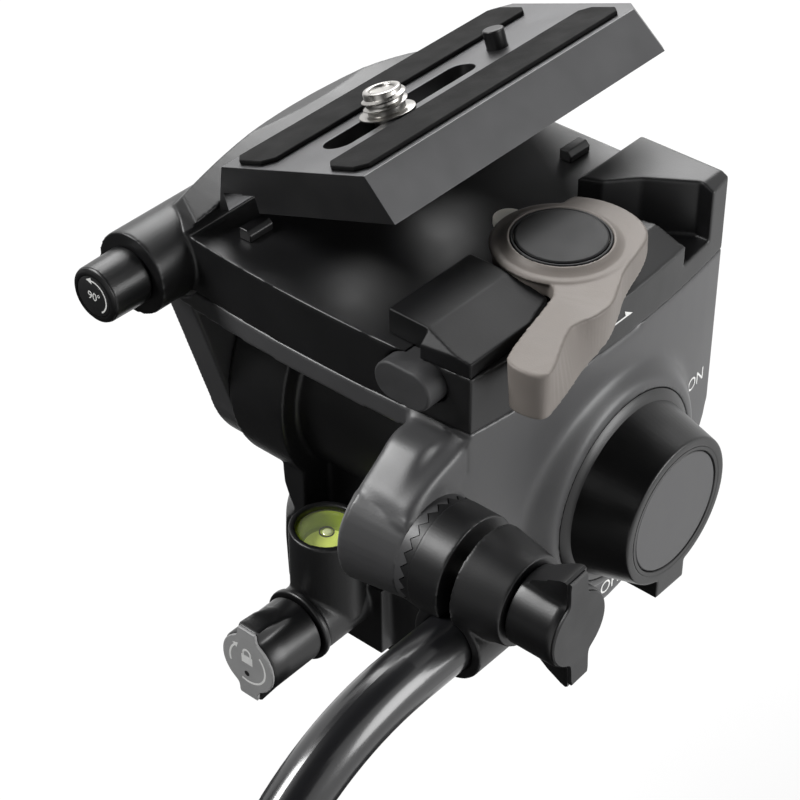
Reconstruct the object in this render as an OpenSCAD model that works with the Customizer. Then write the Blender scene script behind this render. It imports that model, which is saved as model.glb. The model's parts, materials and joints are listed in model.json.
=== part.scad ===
// Fluid video head for a tripod, built as the separate pieces of the real thing.
// Millimetres. +X is the operator's right, +Y the way the lens looks, +Z up.
// The origin is the pan axis at the bottom face of the base.

/* [Base and pan drum] */
// Radius of the flat base plate
base_r = 26; // [25:0.5:28]
// Thickness of the base plate
base_h = 4; // [3.5:0.25:5]
// Wall radius of the 3/8 inch tripod thread
thread_r = 3.97; // [3:0.01:4.5]
// Depth of the tripod thread
thread_depth = 14; // [12:0.5:16]
// Outer radius of the steel thread insert
insert_r = 6; // [5.5:0.1:6.5]
// Radius of the pan spindle
spindle_r = 8; // [7.5:0.1:8.5]
// Outer radius of the pan bushes
pan_bush_r = 11; // [10.5:0.1:12]
// Radius of the pan drum at its top edge
drum_r = 29.5; // [28:0.5:30]
// How much smaller the drum is at its lower edge
drum_taper = 1; // [0.5:0.25:2]
// Distance from the pan axis to the flat front of the drum
drum_front = 30.3; // [30:0.1:32]
// Half width of the flat front of the drum
drum_front_half = 11; // [10:0.5:12]

/* [Spirit level] */
// Distance from the pan axis to the level
level_y = 35.7; // [35:0.1:37]
// Height of the level's rim above the base
level_top = 40; // [38:0.5:41]
// Outer radius of the level's turret
level_r = 8.4; // [8:0.1:9]
// Radius of the glass of the level
level_glass_r = 6.9; // [6:0.1:7.2]
// Depth of the vial
level_depth = 7; // [5:0.5:9]

/* [Lock knobs] */
// Height of the pan lock above the base
lock_z = 17.5; // [17:0.25:18]
// Barrel radius of a lock knob
knob_r = 8.4; // [8:0.1:8.8]
// Half width of a lock knob's face between its two scoops
scoop_half = 6.5; // [6:0.1:7]
// Length of the pan lock knob
lock_len = 14.8; // [14:0.2:16]
// Length of the tilt lock knob
tilt_lock_len = 13; // [12:0.2:15]
// Length of the wing knob on the handle
wing_len = 10.8; // [10:0.2:13]
// Reach of the two fins of the wing knob
fin_reach = 14; // [13:0.25:15]
// Width of a fin of the wing knob
fin_w = 6.5; // [6:0.25:8]
// Radius of the steel stems of the lock knobs
stem_r = 3; // [2.5:0.1:3.3]

/* [Tilt] */
// Height of the tilt axis above the base
tilt_z = 57.6; // [57:0.2:60]
// Radius of the drum on the post that holds the tilt bearings
housing_r = 26; // [24:0.5:28]
// Radius of the tilt shaft
shaft_r = 6; // [5.5:0.1:6.5]
// Outer radius of the tilt bushes
tilt_bush_r = 9; // [8.5:0.1:10]
// Drop from the tilt axis to the top of the pan drum
drum_drop = 34.3; // [33.5:0.1:35]
// Radius of the round end of the left cheek
cheek_r = 29.75; // [29:0.25:31]
// Radius of the round end of the right cheek
right_cheek_r = 36; // [35:0.25:36.5]
// Inner face of the left cheek, left of the pan axis
left_in = 33.3; // [33:0.1:33.6]
// Thickness of the left cheek
left_t = 8.2; // [7.5:0.1:8.5]
// Clearance between the drum beside the left cheek and the bridge above it
drum_clear = 0.5; // [0.4:0.1:2]
// Length of that drum along the tilt axis
side_drum_len = 16; // [15:0.25:17]
// Reach of the leg under that drum, from the pan axis
leg_r = 33.8; // [33:0.1:34.5]
// Inner face of the right cheek, right of the pan axis
right_in = 31; // [30.6:0.2:31.6]
// Height of the seam between cradle and deck above the tilt axis
seam_rise = 36.4; // [36:0.2:38]
// Thickness of the bridge that joins the two cheeks
bridge_t = 5; // [4.5:0.25:5.5]

/* [Counterbalance] */
// Radius of the round recess that the counterbalance knob sits in
recess_r = 22.5; // [22:0.1:23]
// Radius of the knob at the recess
balance_r = 20.5; // [20:0.1:21]
// Radius of the knob at its face
balance_face_r = 17; // [16.5:0.1:18]
// Distance of the knob's face from the pan axis
balance_face_x = 66.2; // [65:0.2:68]
// Radius of the disc set into the knob's face
balance_disc_r = 14.7; // [14:0.1:15.5]

/* [Deck] */
// Distance from the pan axis to the operator's face
deck_front = 44; // [43.5:0.25:45]
// Distance from the pan axis to the far face
deck_back = 40.6; // [40:0.2:42]
// Distance from the pan axis to the middle of the right side
deck_right = 49.4; // [48.8:0.1:50]
// How far the right side bulges out
side_bulge = 3.4; // [2.5:0.1:4]
// How far the operator's face bulges out
front_bulge = 2; // [1:0.1:2.5]
// Height of the deck's floor above the seam
floor_rise = 13.3; // [13:0.1:14]
// Height of the clamp blocks above the floor
block_h = 5.7; // [5:0.1:6]

/* [Portrait hinge] */
// Distance of the hinge axis left of the pan axis
hinge_x = 36; // [35.8:0.1:36.4]
// Height of the hinge axis above the seam
hinge_rise = 6; // [5.8:0.1:6.3]
// Radius of the hinge barrel
barrel_r = 9.4; // [9.2:0.1:9.6]
// Radius of the hinge pin
pin_r = 3; // [2.5:0.1:3.5]
// Distance from the pan axis to the front of the barrel
barrel_front = 54; // [53:0.5:55]
// Radius of the release knob at the barrel's front
flip_knob_r = 6.5; // [6.1:0.1:6.9]
// Length of that knob
flip_knob_len = 10; // [9:0.5:12]

/* [Sliding plate] */
// Width of the plate's foot
plate_w = 50.5; // [50:0.1:50.8]
// Length of the plate
plate_l = 90; // [86:0.5:94]
// Thickness of the plate
plate_h = 9.9; // [9:0.1:10.5]
// Run of each dovetail side
dovetail = 3.65; // [3.4:0.05:3.8]
// Angle at which the plate is tipped into the rail
tip = 19.7; // [15:0.1:20]
// Width of the slot for the camera screw
slot_w = 7; // [6.8:0.1:8]
// Radius of the 3/8 inch camera screw
screw_r = 4.7625; // [4.5:0.0025:5]
// Height of the screw above the pads
screw_h = 4.5; // [3.5:0.5:8]
// Radius of the video pin
video_pin_r = 2.35; // [2:0.05:2.6]
// Thickness of the rubber pads
pad_t = 1; // [0.8:0.1:1.4]

/* [Clamp lever] */
// Place of the lever's axis right of the pan axis
lever_x = 36; // [35.8:0.1:36.4]
// Place of the lever's axis towards the operator
lever_y = 3.7; // [3.2:0.1:4.2]
// Radius of the lever's hub
hub_r = 12.6; // [12:0.1:12.7]
// Radius of the disc in the hub
hub_disc_r = 10.1; // [9.5:0.1:10.5]
// Length of the grip that hangs at the lever's end
grip_h = 10.5; // [9:0.25:12]

/* [Handle] */
// Distance of the handle joint from the pan axis, towards the operator
rosette_y = 55; // [54.5:0.25:57]
// Height of the handle joint above the base
rosette_z = 73; // [72:0.25:75]
// Radius of the toothed joint
rosette_r = 11.4; // [11:0.1:11.8]
// Number of teeth in the joint
teeth = 24; // [18:1:30]
// Drop of the tube below the joint's axis
tube_drop = 11; // [10:0.25:12]
// Radius of the handle's tube
tube_r = 6; // [5.5:0.1:6.5]
// Wall of the handle's tube
tube_wall = 1.5; // [1:0.1:2]
// Bend radius of the tube's centre line
bend_r = 55; // [45:1:70]
// Bend of the tube below level
bend = 36; // [25:1:45]
// Length of the tube after the bend
tube_len = 215; // [180:5:260]
// Length of the rubber grip
grip_len = 112; // [90:2:130]
// Radius of the rubber grip
grip_r = 11; // [9:0.25:13]

/* [Hidden] */
$fn = 64;
hull_fn = 32;

// Clearances
seat = 0.05;
run = 0.04;
gap = 0.3;
wide_gap = 0.8;
over = 1;

// Colours
black = "#1c1c1e";
charcoal = "#3a3a3c";
grey = "#6c6c6e";
steel = "#b9bcc0";
taupe = "#8f857b";
brass = "#b08d4a";
lime = "#a8b820";
cream = "#d9cdb4";

// Heights of the main levels
drum_z = base_h + gap;
drum_top = tilt_z - drum_drop;
seam_z = tilt_z + seam_rise;
bridge_z = seam_z - bridge_t;
floor_z = seam_z + floor_rise;
hinge_z = seam_z + hinge_rise;
block_top = floor_z + block_h;

// Inside of the pan drum
flange_r = 14;
flange_t = 3;
screw_circle = 10.5;
screw_shank = 1.2;
screw_head = 2.8;
head_t = 1.7;
drag_r = 24;
drag_in = flange_r + over;
drag_t = 1.8;
cavity_top = base_h + 2 * drag_t + gap + gap;
cavity_r = drag_r + seat;
shoe_r = stem_r;
lower_bush_z = base_h + flange_t + gap;
lower_bush_top = lock_z - shoe_r - 0.6;
upper_bush_z = lock_z + shoe_r + 0.6;
upper_bush_top = upper_bush_z + 6.4;
nut_z = upper_bush_top + gap;
nut_t = 3.6;
nut_r = pan_bush_r - 0.6;
neck_r = spindle_r - 3;
spindle_top = nut_z + nut_t;

// Post between the cheeks
post_left = -left_in + gap;
post_right = right_in - 0.6;
post_half = 16;
side_drum_r = bridge_z - tilt_z - drum_clear;
side_drum_in = post_left + side_drum_len;
leg_half = 24.5;
waist_z = drum_top + 3;
waist = 2.1;
bush_len = 6;
cartridge_r = 16;
shaft_left = -left_in - left_t + 2;
stem_bore = stem_r + run;
shoe_back = spindle_r + 0.7;
shoe_len = 10;

// Level and pan lock
boss_r = 8.1;
lock_front = level_y + level_r + 0.2;
collar_t = 1.8;
collar_r = 8.8;
knob_back = lock_front + collar_t + gap;
cap_t = 0.7;
cap_inset = 0.7;
scoop_r = 16;
lock_turn = 45;

// Outlines shared by cradle and deck, with both bulges as true arcs
side_chord = deck_front + deck_back;
bulge_r = (pow(side_chord / 2, 2) + pow(side_bulge, 2)) / (2 * side_bulge);
bulge_x = deck_right - bulge_r;
bulge_y = (deck_back - deck_front) / 2;
deck_left = -30;
front_chord = deck_right - side_bulge - deck_left;
bow_r = (pow(front_chord / 2, 2) + pow(front_bulge, 2)) / (2 * front_bulge);
bow_x = deck_left + front_chord / 2;
bow_y = bow_r - deck_front - front_bulge;

// Right cheek
right_out = deck_right - side_bulge;
right_step = 41;
lobe_r = 13.2;
flare_x = 53;
flare_base_r = 31;
flare_r = recess_r + 2;
recess_x = 50;
shoulder_z = seam_z - 9.5;
left_front = [2.8 - deck_front, bridge_z];
back_z = tilt_z - 3.6;
back_low = [deck_back - 2.4, tilt_z - 10];
back_in = back_low - [8, 7.6];
joint = [-rosette_y, rosette_z];
joint_top = joint + rosette_r * [cos(52), sin(52)];
joint_low = joint - [0, rosette_r];
spring_r = 14;
spring_x = 41.5;
spring_t = spring_x - right_in - 0.5;
shaft_right = spring_x + 2;
tab_half = 4.9;
tab_reach = 21;

// Tilt lock on the left cheek, beside the shaft
tilt_lock_y = 18;
tilt_lock_x = -left_in - left_t - gap;

// Handle joint along X
tooth_h = 1.8;
skirt_t = 0.4;
tooth_half = 0.94 * rosette_r * sin(180 / teeth);
rosette_x = right_out + 0.2;
spigot_x = rosette_x + over + gap;
clamp_x = rosette_x + over + tooth_h + gap;
clamp_r = rosette_r + 0.3;
split_in = clamp_x + 7.4;
split_out = split_in + 3;
clamp_end = split_out + 10.5;
clamp_end_r = 9.6;
tube_x = (split_in + split_out) / 2;
tube_z = rosette_z - tube_drop;
bend_swell = 0.03;
socket_r = tube_r + 2.2;
socket_front = rosette_y + 10;
socket_back = rosette_y - 8;
tube_start = socket_back + over;
tube_straight = rosette_y + 23;
bolt_r = 4;
bolt_left = right_in + 3;
plug_len = 10;
plug_head = 4;
wing_x = clamp_end + 0.4;
wing_turn = 4;
bolt_right = wing_x + wing_len - 3;

// Portrait hinge
knuckle_r = barrel_r - 1.3;
knuckle_clear = knuckle_r + wide_gap;
arm_half = 3.7;
zone_len = 12;
zone_front = -30;
zone_back = 14;
zone_gap = 0.4;
barrel_back = 38;
rail_x = -26.6;
hump_top = floor_z + 10.1;
hump_r = 165;
slope = 40;
rail_shoulder = [-hinge_x - 2.6, floor_z + 8.3];
flip_stem_r = 2.5;
flip_stem_len = 18;
flip_spring_r = 4.6;

// Plate as tipped into the rail: where it hooks and where it seats
hook_x = -38.82;
hook_z = floor_z + 7.86;
seat_x = -28.3;
seat_z = floor_z + 0.1;
plate_y = -37.3;
plate_mid = plate_w / 2;
edge_h = 7.7;
top_run = dovetail + 1.1;
screw_y = 29.2;
slot_front = 11;
slot_back = 55.4;
corner_cut = 1.7;
corner_lean = 23;
notch_x = 2.9;
notch_w = 5.6;
notch_l = 8;
notch_h = 4;
video_pin_y = 64.6;
video_pin_h = 3.2;
video_pin_travel = 3;
pad_in = 7.8;
pad_out = 18.6;
pad_front = 1.6;
pad_cut = 2.2;
channel_half = 9.2;
channel_h = 5.2;
head_r = 8.6;
washer_t = 0.8;
stop_w = 3.2;
stop_d = 6.8;
stop_h = 2.6;
stop_places = [[-19, -34.2], [12, 32.4]];

// Clamp lever
hub_z = floor_z + 2.5;
hub_t = 5.4;
hub_top = hub_z + hub_t;
axle_r = 4;
disc_t = 1.6;
plinth_r = hub_r - 0.3;
plinth_t = 2.2;
shoe_w = 7;
shoe_y = 2;
shoe_t = 1.8;
shoe_x = 14.9;
trigger_len = 10.6;
trigger_travel = 8.8;
elbow = [47.2, -10.5];
elbow_r = 5.4;
lobe = [42.6, 8.4];
lobe_end_r = 5.5;
bend_point = [50.6, -22];
arm_r = 4;
grip_point = [53.8, -35.2];
grip_end_r = 4.6;
grip_top = floor_z + 4;
arm_z = floor_z + 0.9;

// Front block
block_left = 23.8;
block_back = 17.5;
block_step = 42.4;

// Rear horn, and the ramp and pocket between it and the lever
horn_line = [[23.4, 18.3], [28, 20.7], [33.5, 27], [43.5, 33.6], [60, 34.4]];
horn_slope_x = 44.2;
ramp_x = 41;
ramp_slope = 0.38;
ramp_front = -15;
ramp_back = 24.4;
pocket_rise = 5.6;
plinth_root = 4;

// Release button
button_x = 33.2;
button_z = seam_z + 8.6;
button_half_w = 7;
button_half_h = 4.4;
button_face = 49.5;
button_back = 41.7;
button_travel = 3;
button_spring_r = 2.4;

// Shapes laid along an axis
module along_x(x, y, z) {
    translate([x, y, z]) rotate([0, 90, 0]) children();
}

module along_y(x, y, z) {
    translate([x, y, z]) rotate([-90, 0, 0]) children();
}

// A side view drawn as (Y, Z), given a width along X
module side_view(x, width) {
    translate([x, 0, 0]) rotate([90, 0, 90]) linear_extrude(width) children();
}

// A front view drawn as (X, Z), given a depth along Y
module front_view(y, depth) {
    translate([0, y + depth, 0]) rotate([90, 0, 0]) linear_extrude(depth) children();
}

module ring(r_out, r_in, h) {
    difference() {
        cylinder(r = r_out, h = h);
        translate([0, 0, -over]) cylinder(r = r_in, h = h + 2 * over);
    }
}

module stadium(half_w, half_h) {
    square([2 * (half_w - half_h), 2 * half_h], center = true);
    for (side = [-1, 1]) translate([side * (half_w - half_h), 0]) circle(r = half_h);
}

// Point where a line from p touches a circle about the tilt axis
function tangent(p, r, turn) =
    let (dy = p[0], dz = p[1] - tilt_z)
    let (a = atan2(dz, dy) + turn * acos(r / norm([dy, dz])))
    [r * cos(a), tilt_z + r * sin(a)];

// A lock knob that stands along +Z, with a thumb scoop on either side of its face
module scoops(len) {
    for (side = [0, 180]) rotate([0, 0, side]) translate([scoop_half + scoop_r, 0, len + 3]) rotate([90, 0, 0])
        cylinder(r = scoop_r, h = 4 * knob_r, center = true);
}

module lock_knob(len) {
    difference() {
        cylinder(r1 = knob_r, r2 = knob_r + 0.4, h = len);
        scoops(len);
        translate([0, 0, -over]) cylinder(r = stem_r + seat, h = len - 3 + over);
    }
}

module lock_cap(len) {
    difference() {
        translate([0, 0, len]) cylinder(r = knob_r + 0.2, h = cap_t);
        scoops(len);
    }
}

// The wing knob's face: round, with two fins
module wing_face(inset) {
    circle(r = knob_r - inset);
    intersection() {
        square([2 * fin_reach, fin_w - 2 * inset], center = true);
        circle(r = fin_reach - inset);
    }
}

module pan_lock_axis(y) {
    translate([0, -y, lock_z]) rotate([90, 0, 0]) rotate([0, 0, lock_turn]) children();
}

module tilt_lock_axis(x) {
    translate([x, tilt_lock_y, tilt_z]) rotate([0, -90, 0]) children();
}

module wing_axis(x) {
    along_x(x, -rosette_y, rosette_z) rotate([0, 0, wing_turn]) children();
}

module on_plate() {
    translate([hook_x, 0, hook_z]) rotate([0, -tip, 0])
        translate([seat_x - hook_x, plate_y, seat_z - hook_z]) children();
}

// Outline of the deck from above, between its left edge and a right limit
module deck_outline(left) {
    intersection() {
        translate([left, -2 * deck_front]) square([2 * deck_right - left, 2 * deck_front + deck_back]);
        translate([bulge_x, bulge_y]) circle(r = bulge_r, $fn = 360);
        translate([bow_x, bow_y]) circle(r = bow_r, $fn = 360);
    }
}

// Base
module base_screw_places() {
    for (turn = [0, 120, 240]) rotate([0, 0, turn]) translate([screw_circle, 0, 0]) children();
}

module base_plate() color(charcoal) difference() {
    cylinder(r = base_r, h = base_h);
    translate([0, 0, -over]) cylinder(r = insert_r + seat, h = base_h + 2 * over);
    base_screw_places() {
        translate([0, 0, -over]) cylinder(r = screw_shank + 0.1, h = base_h + 2 * over);
        translate([0, 0, -over]) cylinder(r = screw_head + 0.1, h = head_t + gap + over);
    }
}

module thread_insert() color(steel) ring(insert_r, thread_r, thread_depth);

module base_screws() color(steel) base_screw_places() {
    translate([0, 0, gap]) cylinder(r = screw_head, h = head_t);
    translate([0, 0, gap + head_t - 0.2]) cylinder(r = screw_shank, h = base_h + 0.6);
}

module pan_spindle() color(steel) difference() {
    union() {
        translate([0, 0, base_h]) cylinder(r = flange_r, h = flange_t);
        translate([0, 0, base_h]) cylinder(r = spindle_r, h = upper_bush_top - base_h);
        translate([0, 0, base_h]) cylinder(r = neck_r, h = spindle_top + over - base_h);
    }
    translate([0, 0, base_h - over]) cylinder(r = insert_r + seat, h = thread_depth - base_h + over + gap);
    base_screw_places() translate([0, 0, base_h - over]) cylinder(r = screw_shank + seat, h = flange_t + over - 0.2);
}

module pan_drag_stator() color(brass) translate([0, 0, base_h]) ring(drag_r - 0.4, drag_in, drag_t);

module pan_nut() color(steel) translate([0, 0, nut_z]) ring(nut_r, neck_r + seat, nut_t);

// Pan drum and post
module level_turret() {
    translate([0, -level_y, lock_z]) cylinder(r = level_r, h = level_top - lock_z);
}

// The leg that carries the side drum, drawn in a little at its waist
module leg() {
    intersection() {
        translate([post_left, -leg_half, drum_z]) cube([side_drum_len, 2 * leg_half, tilt_z - drum_z]);
        rotate_extrude() polygon([[0, drum_z], [leg_r - 0.4, drum_z], [leg_r, waist_z - 10], [leg_r - 0.2, waist_z - 4.6],
            [leg_r - 0.8 * waist, waist_z - 1.6], [leg_r - waist, waist_z], [leg_r - 0.5 * waist, waist_z + 3],
            [leg_r - 0.2, waist_z + 6.4], [leg_r, waist_z + 10], [leg_r, tilt_z], [0, tilt_z]]);
    }
}

module pan_housing() color(black) difference() {
    union() {
        translate([0, 0, drum_z]) cylinder(r1 = drum_r - drum_taper, r2 = drum_r, h = drum_top - drum_z);
        translate([-drum_front_half, -drum_front, drum_z])
            cube([2 * drum_front_half, drum_front, drum_top - drum_z]);
        along_y(0, -lock_front, lock_z) cylinder(r = boss_r, h = lock_front - spindle_r);
        level_turret();
        translate([side_drum_in, -post_half, drum_top - over])
            cube([post_right - side_drum_in, 2 * post_half, tilt_z - drum_top]);
        along_x(post_left, 0, tilt_z) cylinder(r = side_drum_r, h = side_drum_len);
        leg();
        along_x(post_left, 0, tilt_z) cylinder(r = housing_r, h = post_right - post_left);
    }
    translate([0, 0, drum_z - over]) cylinder(r = cavity_r, h = cavity_top - drum_z + over);
    translate([0, 0, drum_z]) cylinder(r = pan_bush_r + seat, h = upper_bush_top - drum_z);
    translate([0, 0, drum_z]) cylinder(r = nut_r + gap, h = spindle_top + 1.6 - drum_z);
    along_y(0, -lock_front - over, lock_z) cylinder(r = stem_bore, h = lock_front + over);
    translate([0, -level_y, level_top - level_depth]) cylinder(r = level_glass_r + seat, h = level_depth + over);
    along_x(post_left - over, 0, tilt_z) cylinder(r = shaft_r + 0.4, h = post_right - post_left + 2 * over);
    along_x(post_left - over, 0, tilt_z) cylinder(r = tilt_bush_r + seat, h = bush_len + over);
    along_x(post_right - bush_len, 0, tilt_z) cylinder(r = tilt_bush_r + seat, h = bush_len + over);
    along_x(post_left + bush_len + 2, 0, tilt_z)
        cylinder(r = cartridge_r + seat, h = post_right - post_left - 2 * bush_len - 4);
}

module pan_bushes() color(brass) {
    translate([0, 0, lower_bush_z]) ring(pan_bush_r, spindle_r + run, lower_bush_top - lower_bush_z);
    translate([0, 0, upper_bush_z]) ring(pan_bush_r, spindle_r + run, upper_bush_top - upper_bush_z);
}

module pan_drag_rotor() color(brass) translate([0, 0, cavity_top - drag_t]) ring(drag_r, drag_in, drag_t);

module level_vial() color(lime)
    translate([0, -level_y, level_top - level_depth]) cylinder(r = level_glass_r, h = level_depth - 1.6);

module level_glass() color(lime, 0.5)
    translate([0, -level_y, level_top - 1.6]) cylinder(r = level_glass_r, h = 0.9);

module pan_lock_collar() color(black)
    along_y(0, -lock_front - collar_t, lock_z) ring(collar_r, stem_r + 0.2, collar_t);

module tilt_bushes() color(brass) for (x = [post_left, post_right - bush_len])
    along_x(x, 0, tilt_z) ring(tilt_bush_r, shaft_r + run, bush_len);

module tilt_drag_cartridge() color(grey) along_x(post_left + bush_len + 2.1, 0, tilt_z)
    ring(cartridge_r, shaft_r + 0.3, post_right - post_left - 2 * bush_len - 4.2);

// Pan lock
module pan_lock_knob() color(black) pan_lock_axis(knob_back) lock_knob(lock_len);

module pan_lock_cap() color(grey) pan_lock_axis(knob_back) lock_cap(lock_len);

module pan_lock_stem() color(steel) along_y(0, -knob_back - lock_len + 3.2, lock_z)
    cylinder(r = stem_r, h = knob_back + lock_len - 3.2 - shoe_back - shoe_len - gap);

module pan_brake_shoe() color(brass) difference() {
    along_y(0, -shoe_back - shoe_len, lock_z) cylinder(r = shoe_r, h = shoe_len + 2);
    translate([0, 0, lock_z - 2 * shoe_r]) cylinder(r = shoe_back, h = 4 * shoe_r);
}

// Cradle
function top_front(z) = [-deck_front, z];
function top_back(z) = [deck_back, z];

// The round end of a cheek, which never rises above the seam
module cheek_end(r) {
    intersection() {
        translate([0, tilt_z]) circle(r = r);
        translate([-2 * deck_front, 0]) square([4 * deck_front, seam_z]);
    }
}

module left_profile() {
    cheek_end(cheek_r);
    polygon([[left_front[0], seam_z], left_front, tangent(left_front, cheek_r - 0.1, 1), [0, tilt_z],
        tangent(top_back(bridge_z), cheek_r - 0.1, -1), top_back(bridge_z), top_back(seam_z)]);
}

// The right cheek runs out to the handle joint; front_z is where its front edge leaves the vertical
module right_profile(front_z) {
    cheek_end(right_cheek_r);
    polygon([top_front(seam_z), top_front(front_z), joint_top, joint, joint_low, [-5, tilt_z - right_cheek_r + 3], [0, tilt_z],
        back_in, back_low, top_back(back_z), top_back(seam_z)]);
}

module hinge_space(r, y, len) {
    along_y(-hinge_x, y, hinge_z) cylinder(r = r, h = len);
}

module knuckles() {
    for (y = [zone_front, zone_back]) {
        hinge_space(knuckle_r, y + zone_gap, zone_len - 2 * zone_gap);
        translate([-hinge_x - arm_half, y + zone_gap, bridge_z + 0.4])
            cube([2 * arm_half, zone_len - 2 * zone_gap, hinge_z - bridge_z - 0.4]);
    }
}

module right_cheek() {
    side_view(right_in, right_step - right_in) right_profile(bridge_z);
    intersection() {
        side_view(right_step, deck_right - right_step + over) right_profile(shoulder_z);
        linear_extrude(2 * seam_z) intersection() {
            translate([right_step - over, -2 * deck_front]) square([2 * deck_right, 4 * deck_front]);
            translate([bulge_x, bulge_y]) circle(r = bulge_r, $fn = 360);
        }
    }
    along_x(right_out, 0, tilt_z) cylinder(r1 = flare_base_r, r2 = flare_r, h = flare_x - right_out);
    along_x(right_in + 0.6, -rosette_y, rosette_z)
        cylinder(r1 = lobe_r - 1.5, r2 = lobe_r, h = 1.5);
    along_x(right_in + 2.1, -rosette_y, rosette_z)
        cylinder(r1 = lobe_r, r2 = rosette_r, h = rosette_x - right_in - 2.1);
}

module cradle() color(charcoal) difference() {
    union() {
        difference() {
            union() {
                translate([0, 0, bridge_z]) linear_extrude(bridge_t) deck_outline(-left_in - left_t);
                side_view(-left_in - left_t, left_t) left_profile();
            }
            hinge_space(barrel_r + wide_gap, -2 * deck_front, 4 * deck_front);
        }
        right_cheek();
        knuckles();
    }
    along_x(shaft_left, 0, tilt_z) cylinder(r = shaft_r + seat, h = shaft_right - shaft_left);
    along_x(right_in - over, 0, tilt_z) cylinder(r = spring_r, h = spring_x - right_in + over);
    along_x(recess_x, 0, tilt_z) cylinder(r = recess_r, h = flare_x - recess_x + over);
    along_x(shaft_right + gap, 0, tilt_z) cylinder(r = shaft_r + run, h = recess_x - shaft_right);
    along_x(bolt_left, -rosette_y, rosette_z) cylinder(r = bolt_r + seat, h = flare_x);
    along_x(-2 * hinge_x, tilt_lock_y, tilt_z) cylinder(r = stem_bore, h = 2 * hinge_x);
    hinge_space(pin_r + seat, zone_front - over, zone_back + zone_len - zone_front + 2 * over);
}

module tilt_shaft() color(steel) along_x(shaft_left + gap, 0, tilt_z)
    cylinder(r = shaft_r, h = shaft_right - shaft_left - gap);

module balance_spring() color(steel) along_x(spring_x - spring_t, 0, tilt_z)
    ring(spring_r - seat, shaft_r + 2, spring_t);

module rosette_ring() color(charcoal) along_x(rosette_x, -rosette_y, rosette_z) difference() {
    union() {
        ring(rosette_r, bolt_r + seat, over);
        ring(rosette_r, rosette_r - skirt_t, over + tooth_h);
    }
    for (i = [0:teeth - 1]) rotate([0, 0, i * 360 / teeth]) translate([rosette_r - 2, 0, over + tooth_h])
        rotate([90, 0, 90]) linear_extrude(4) polygon([[-tooth_half, 0.1], [0, 0.2 - tooth_h], [tooth_half, 0.1]]);
}

module handle_bolt() color(steel) along_x(bolt_left, -rosette_y, rosette_z)
    cylinder(r = bolt_r, h = bolt_right - bolt_left);

module hinge_pin() color(steel)
    hinge_space(pin_r, zone_front - over + gap, zone_back + zone_len - zone_front + 2 * over - 2 * gap);

// Tilt lock
module tilt_lock_knob() color(black) tilt_lock_axis(tilt_lock_x) lock_knob(tilt_lock_len);

module tilt_lock_cap() color(grey) tilt_lock_axis(tilt_lock_x) lock_cap(tilt_lock_len);

module tilt_lock_stem() color(steel) tilt_lock_axis(-left_in - 0.1)
    cylinder(r = stem_r, h = left_t + gap + tilt_lock_len - 3.2);

// Counterbalance
module balance_knob() color(black) difference() {
    union() {
        along_x(recess_x + gap, 0, tilt_z) cylinder(r = recess_r - gap - 0.2, h = flare_x - recess_x - gap);
        along_x(flare_x - 0.5, 0, tilt_z)
            cylinder(r1 = balance_r, r2 = balance_face_r, h = balance_face_x - flare_x + 0.5);
        along_x(shaft_right + 2 * gap, 0, tilt_z) cylinder(r = shaft_r, h = recess_x - shaft_right);
        translate([flare_x + 4, -tab_half, tilt_z - tab_reach])
            cube([balance_face_x - flare_x - 4, 2 * tab_half, tab_reach - over]);
    }
    along_x(balance_face_x - 1.2, 0, tilt_z) cylinder(r = balance_disc_r + seat, h = 2);
}

module balance_disc() color(charcoal)
    along_x(balance_face_x - 1.2, 0, tilt_z) cylinder(r = balance_disc_r, h = 1);

// Deck
module rail_profile() {
    polygon([[-hinge_x, hinge_z], [-hinge_x - 8.2, hinge_z], [-hinge_x - 6, floor_z - 0.3],
        rail_shoulder, [-hinge_x + 2, hump_top], [rail_x - 1.5, hump_top],
        [rail_x, hump_top - 1.5], [rail_x, floor_z + 4.6], [rail_x - 2.1, floor_z],
        [rail_x - 2.1, hinge_z - 4], [-hinge_x, hinge_z - 4]]);
}

// The rail is arched along its length on its top and on its outer slope, and its front end is cut off slanting
module rail() {
    difference() {
        intersection() {
            front_view(-deck_front, deck_front + deck_back) rail_profile();
            along_x(-2 * hinge_x, over, hump_top - hump_r) cylinder(r = hump_r, h = 2 * hinge_x, $fn = 360);
            translate([rail_shoulder[0] + hump_r * cos(slope), over, rail_shoulder[1] - hump_r * sin(slope)])
                rotate([0, slope, 0]) cylinder(r = hump_r, h = 200, center = true, $fn = 360);
        }
        translate([rail_x, -deck_front, floor_z + 3.5]) rotate([0, -25, -114]) translate([0, -50, -50]) cube(100);
    }
}

module button_outline(margin) {
    translate([button_x, button_z]) stadium(button_half_w + margin, button_half_h + margin);
}

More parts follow.
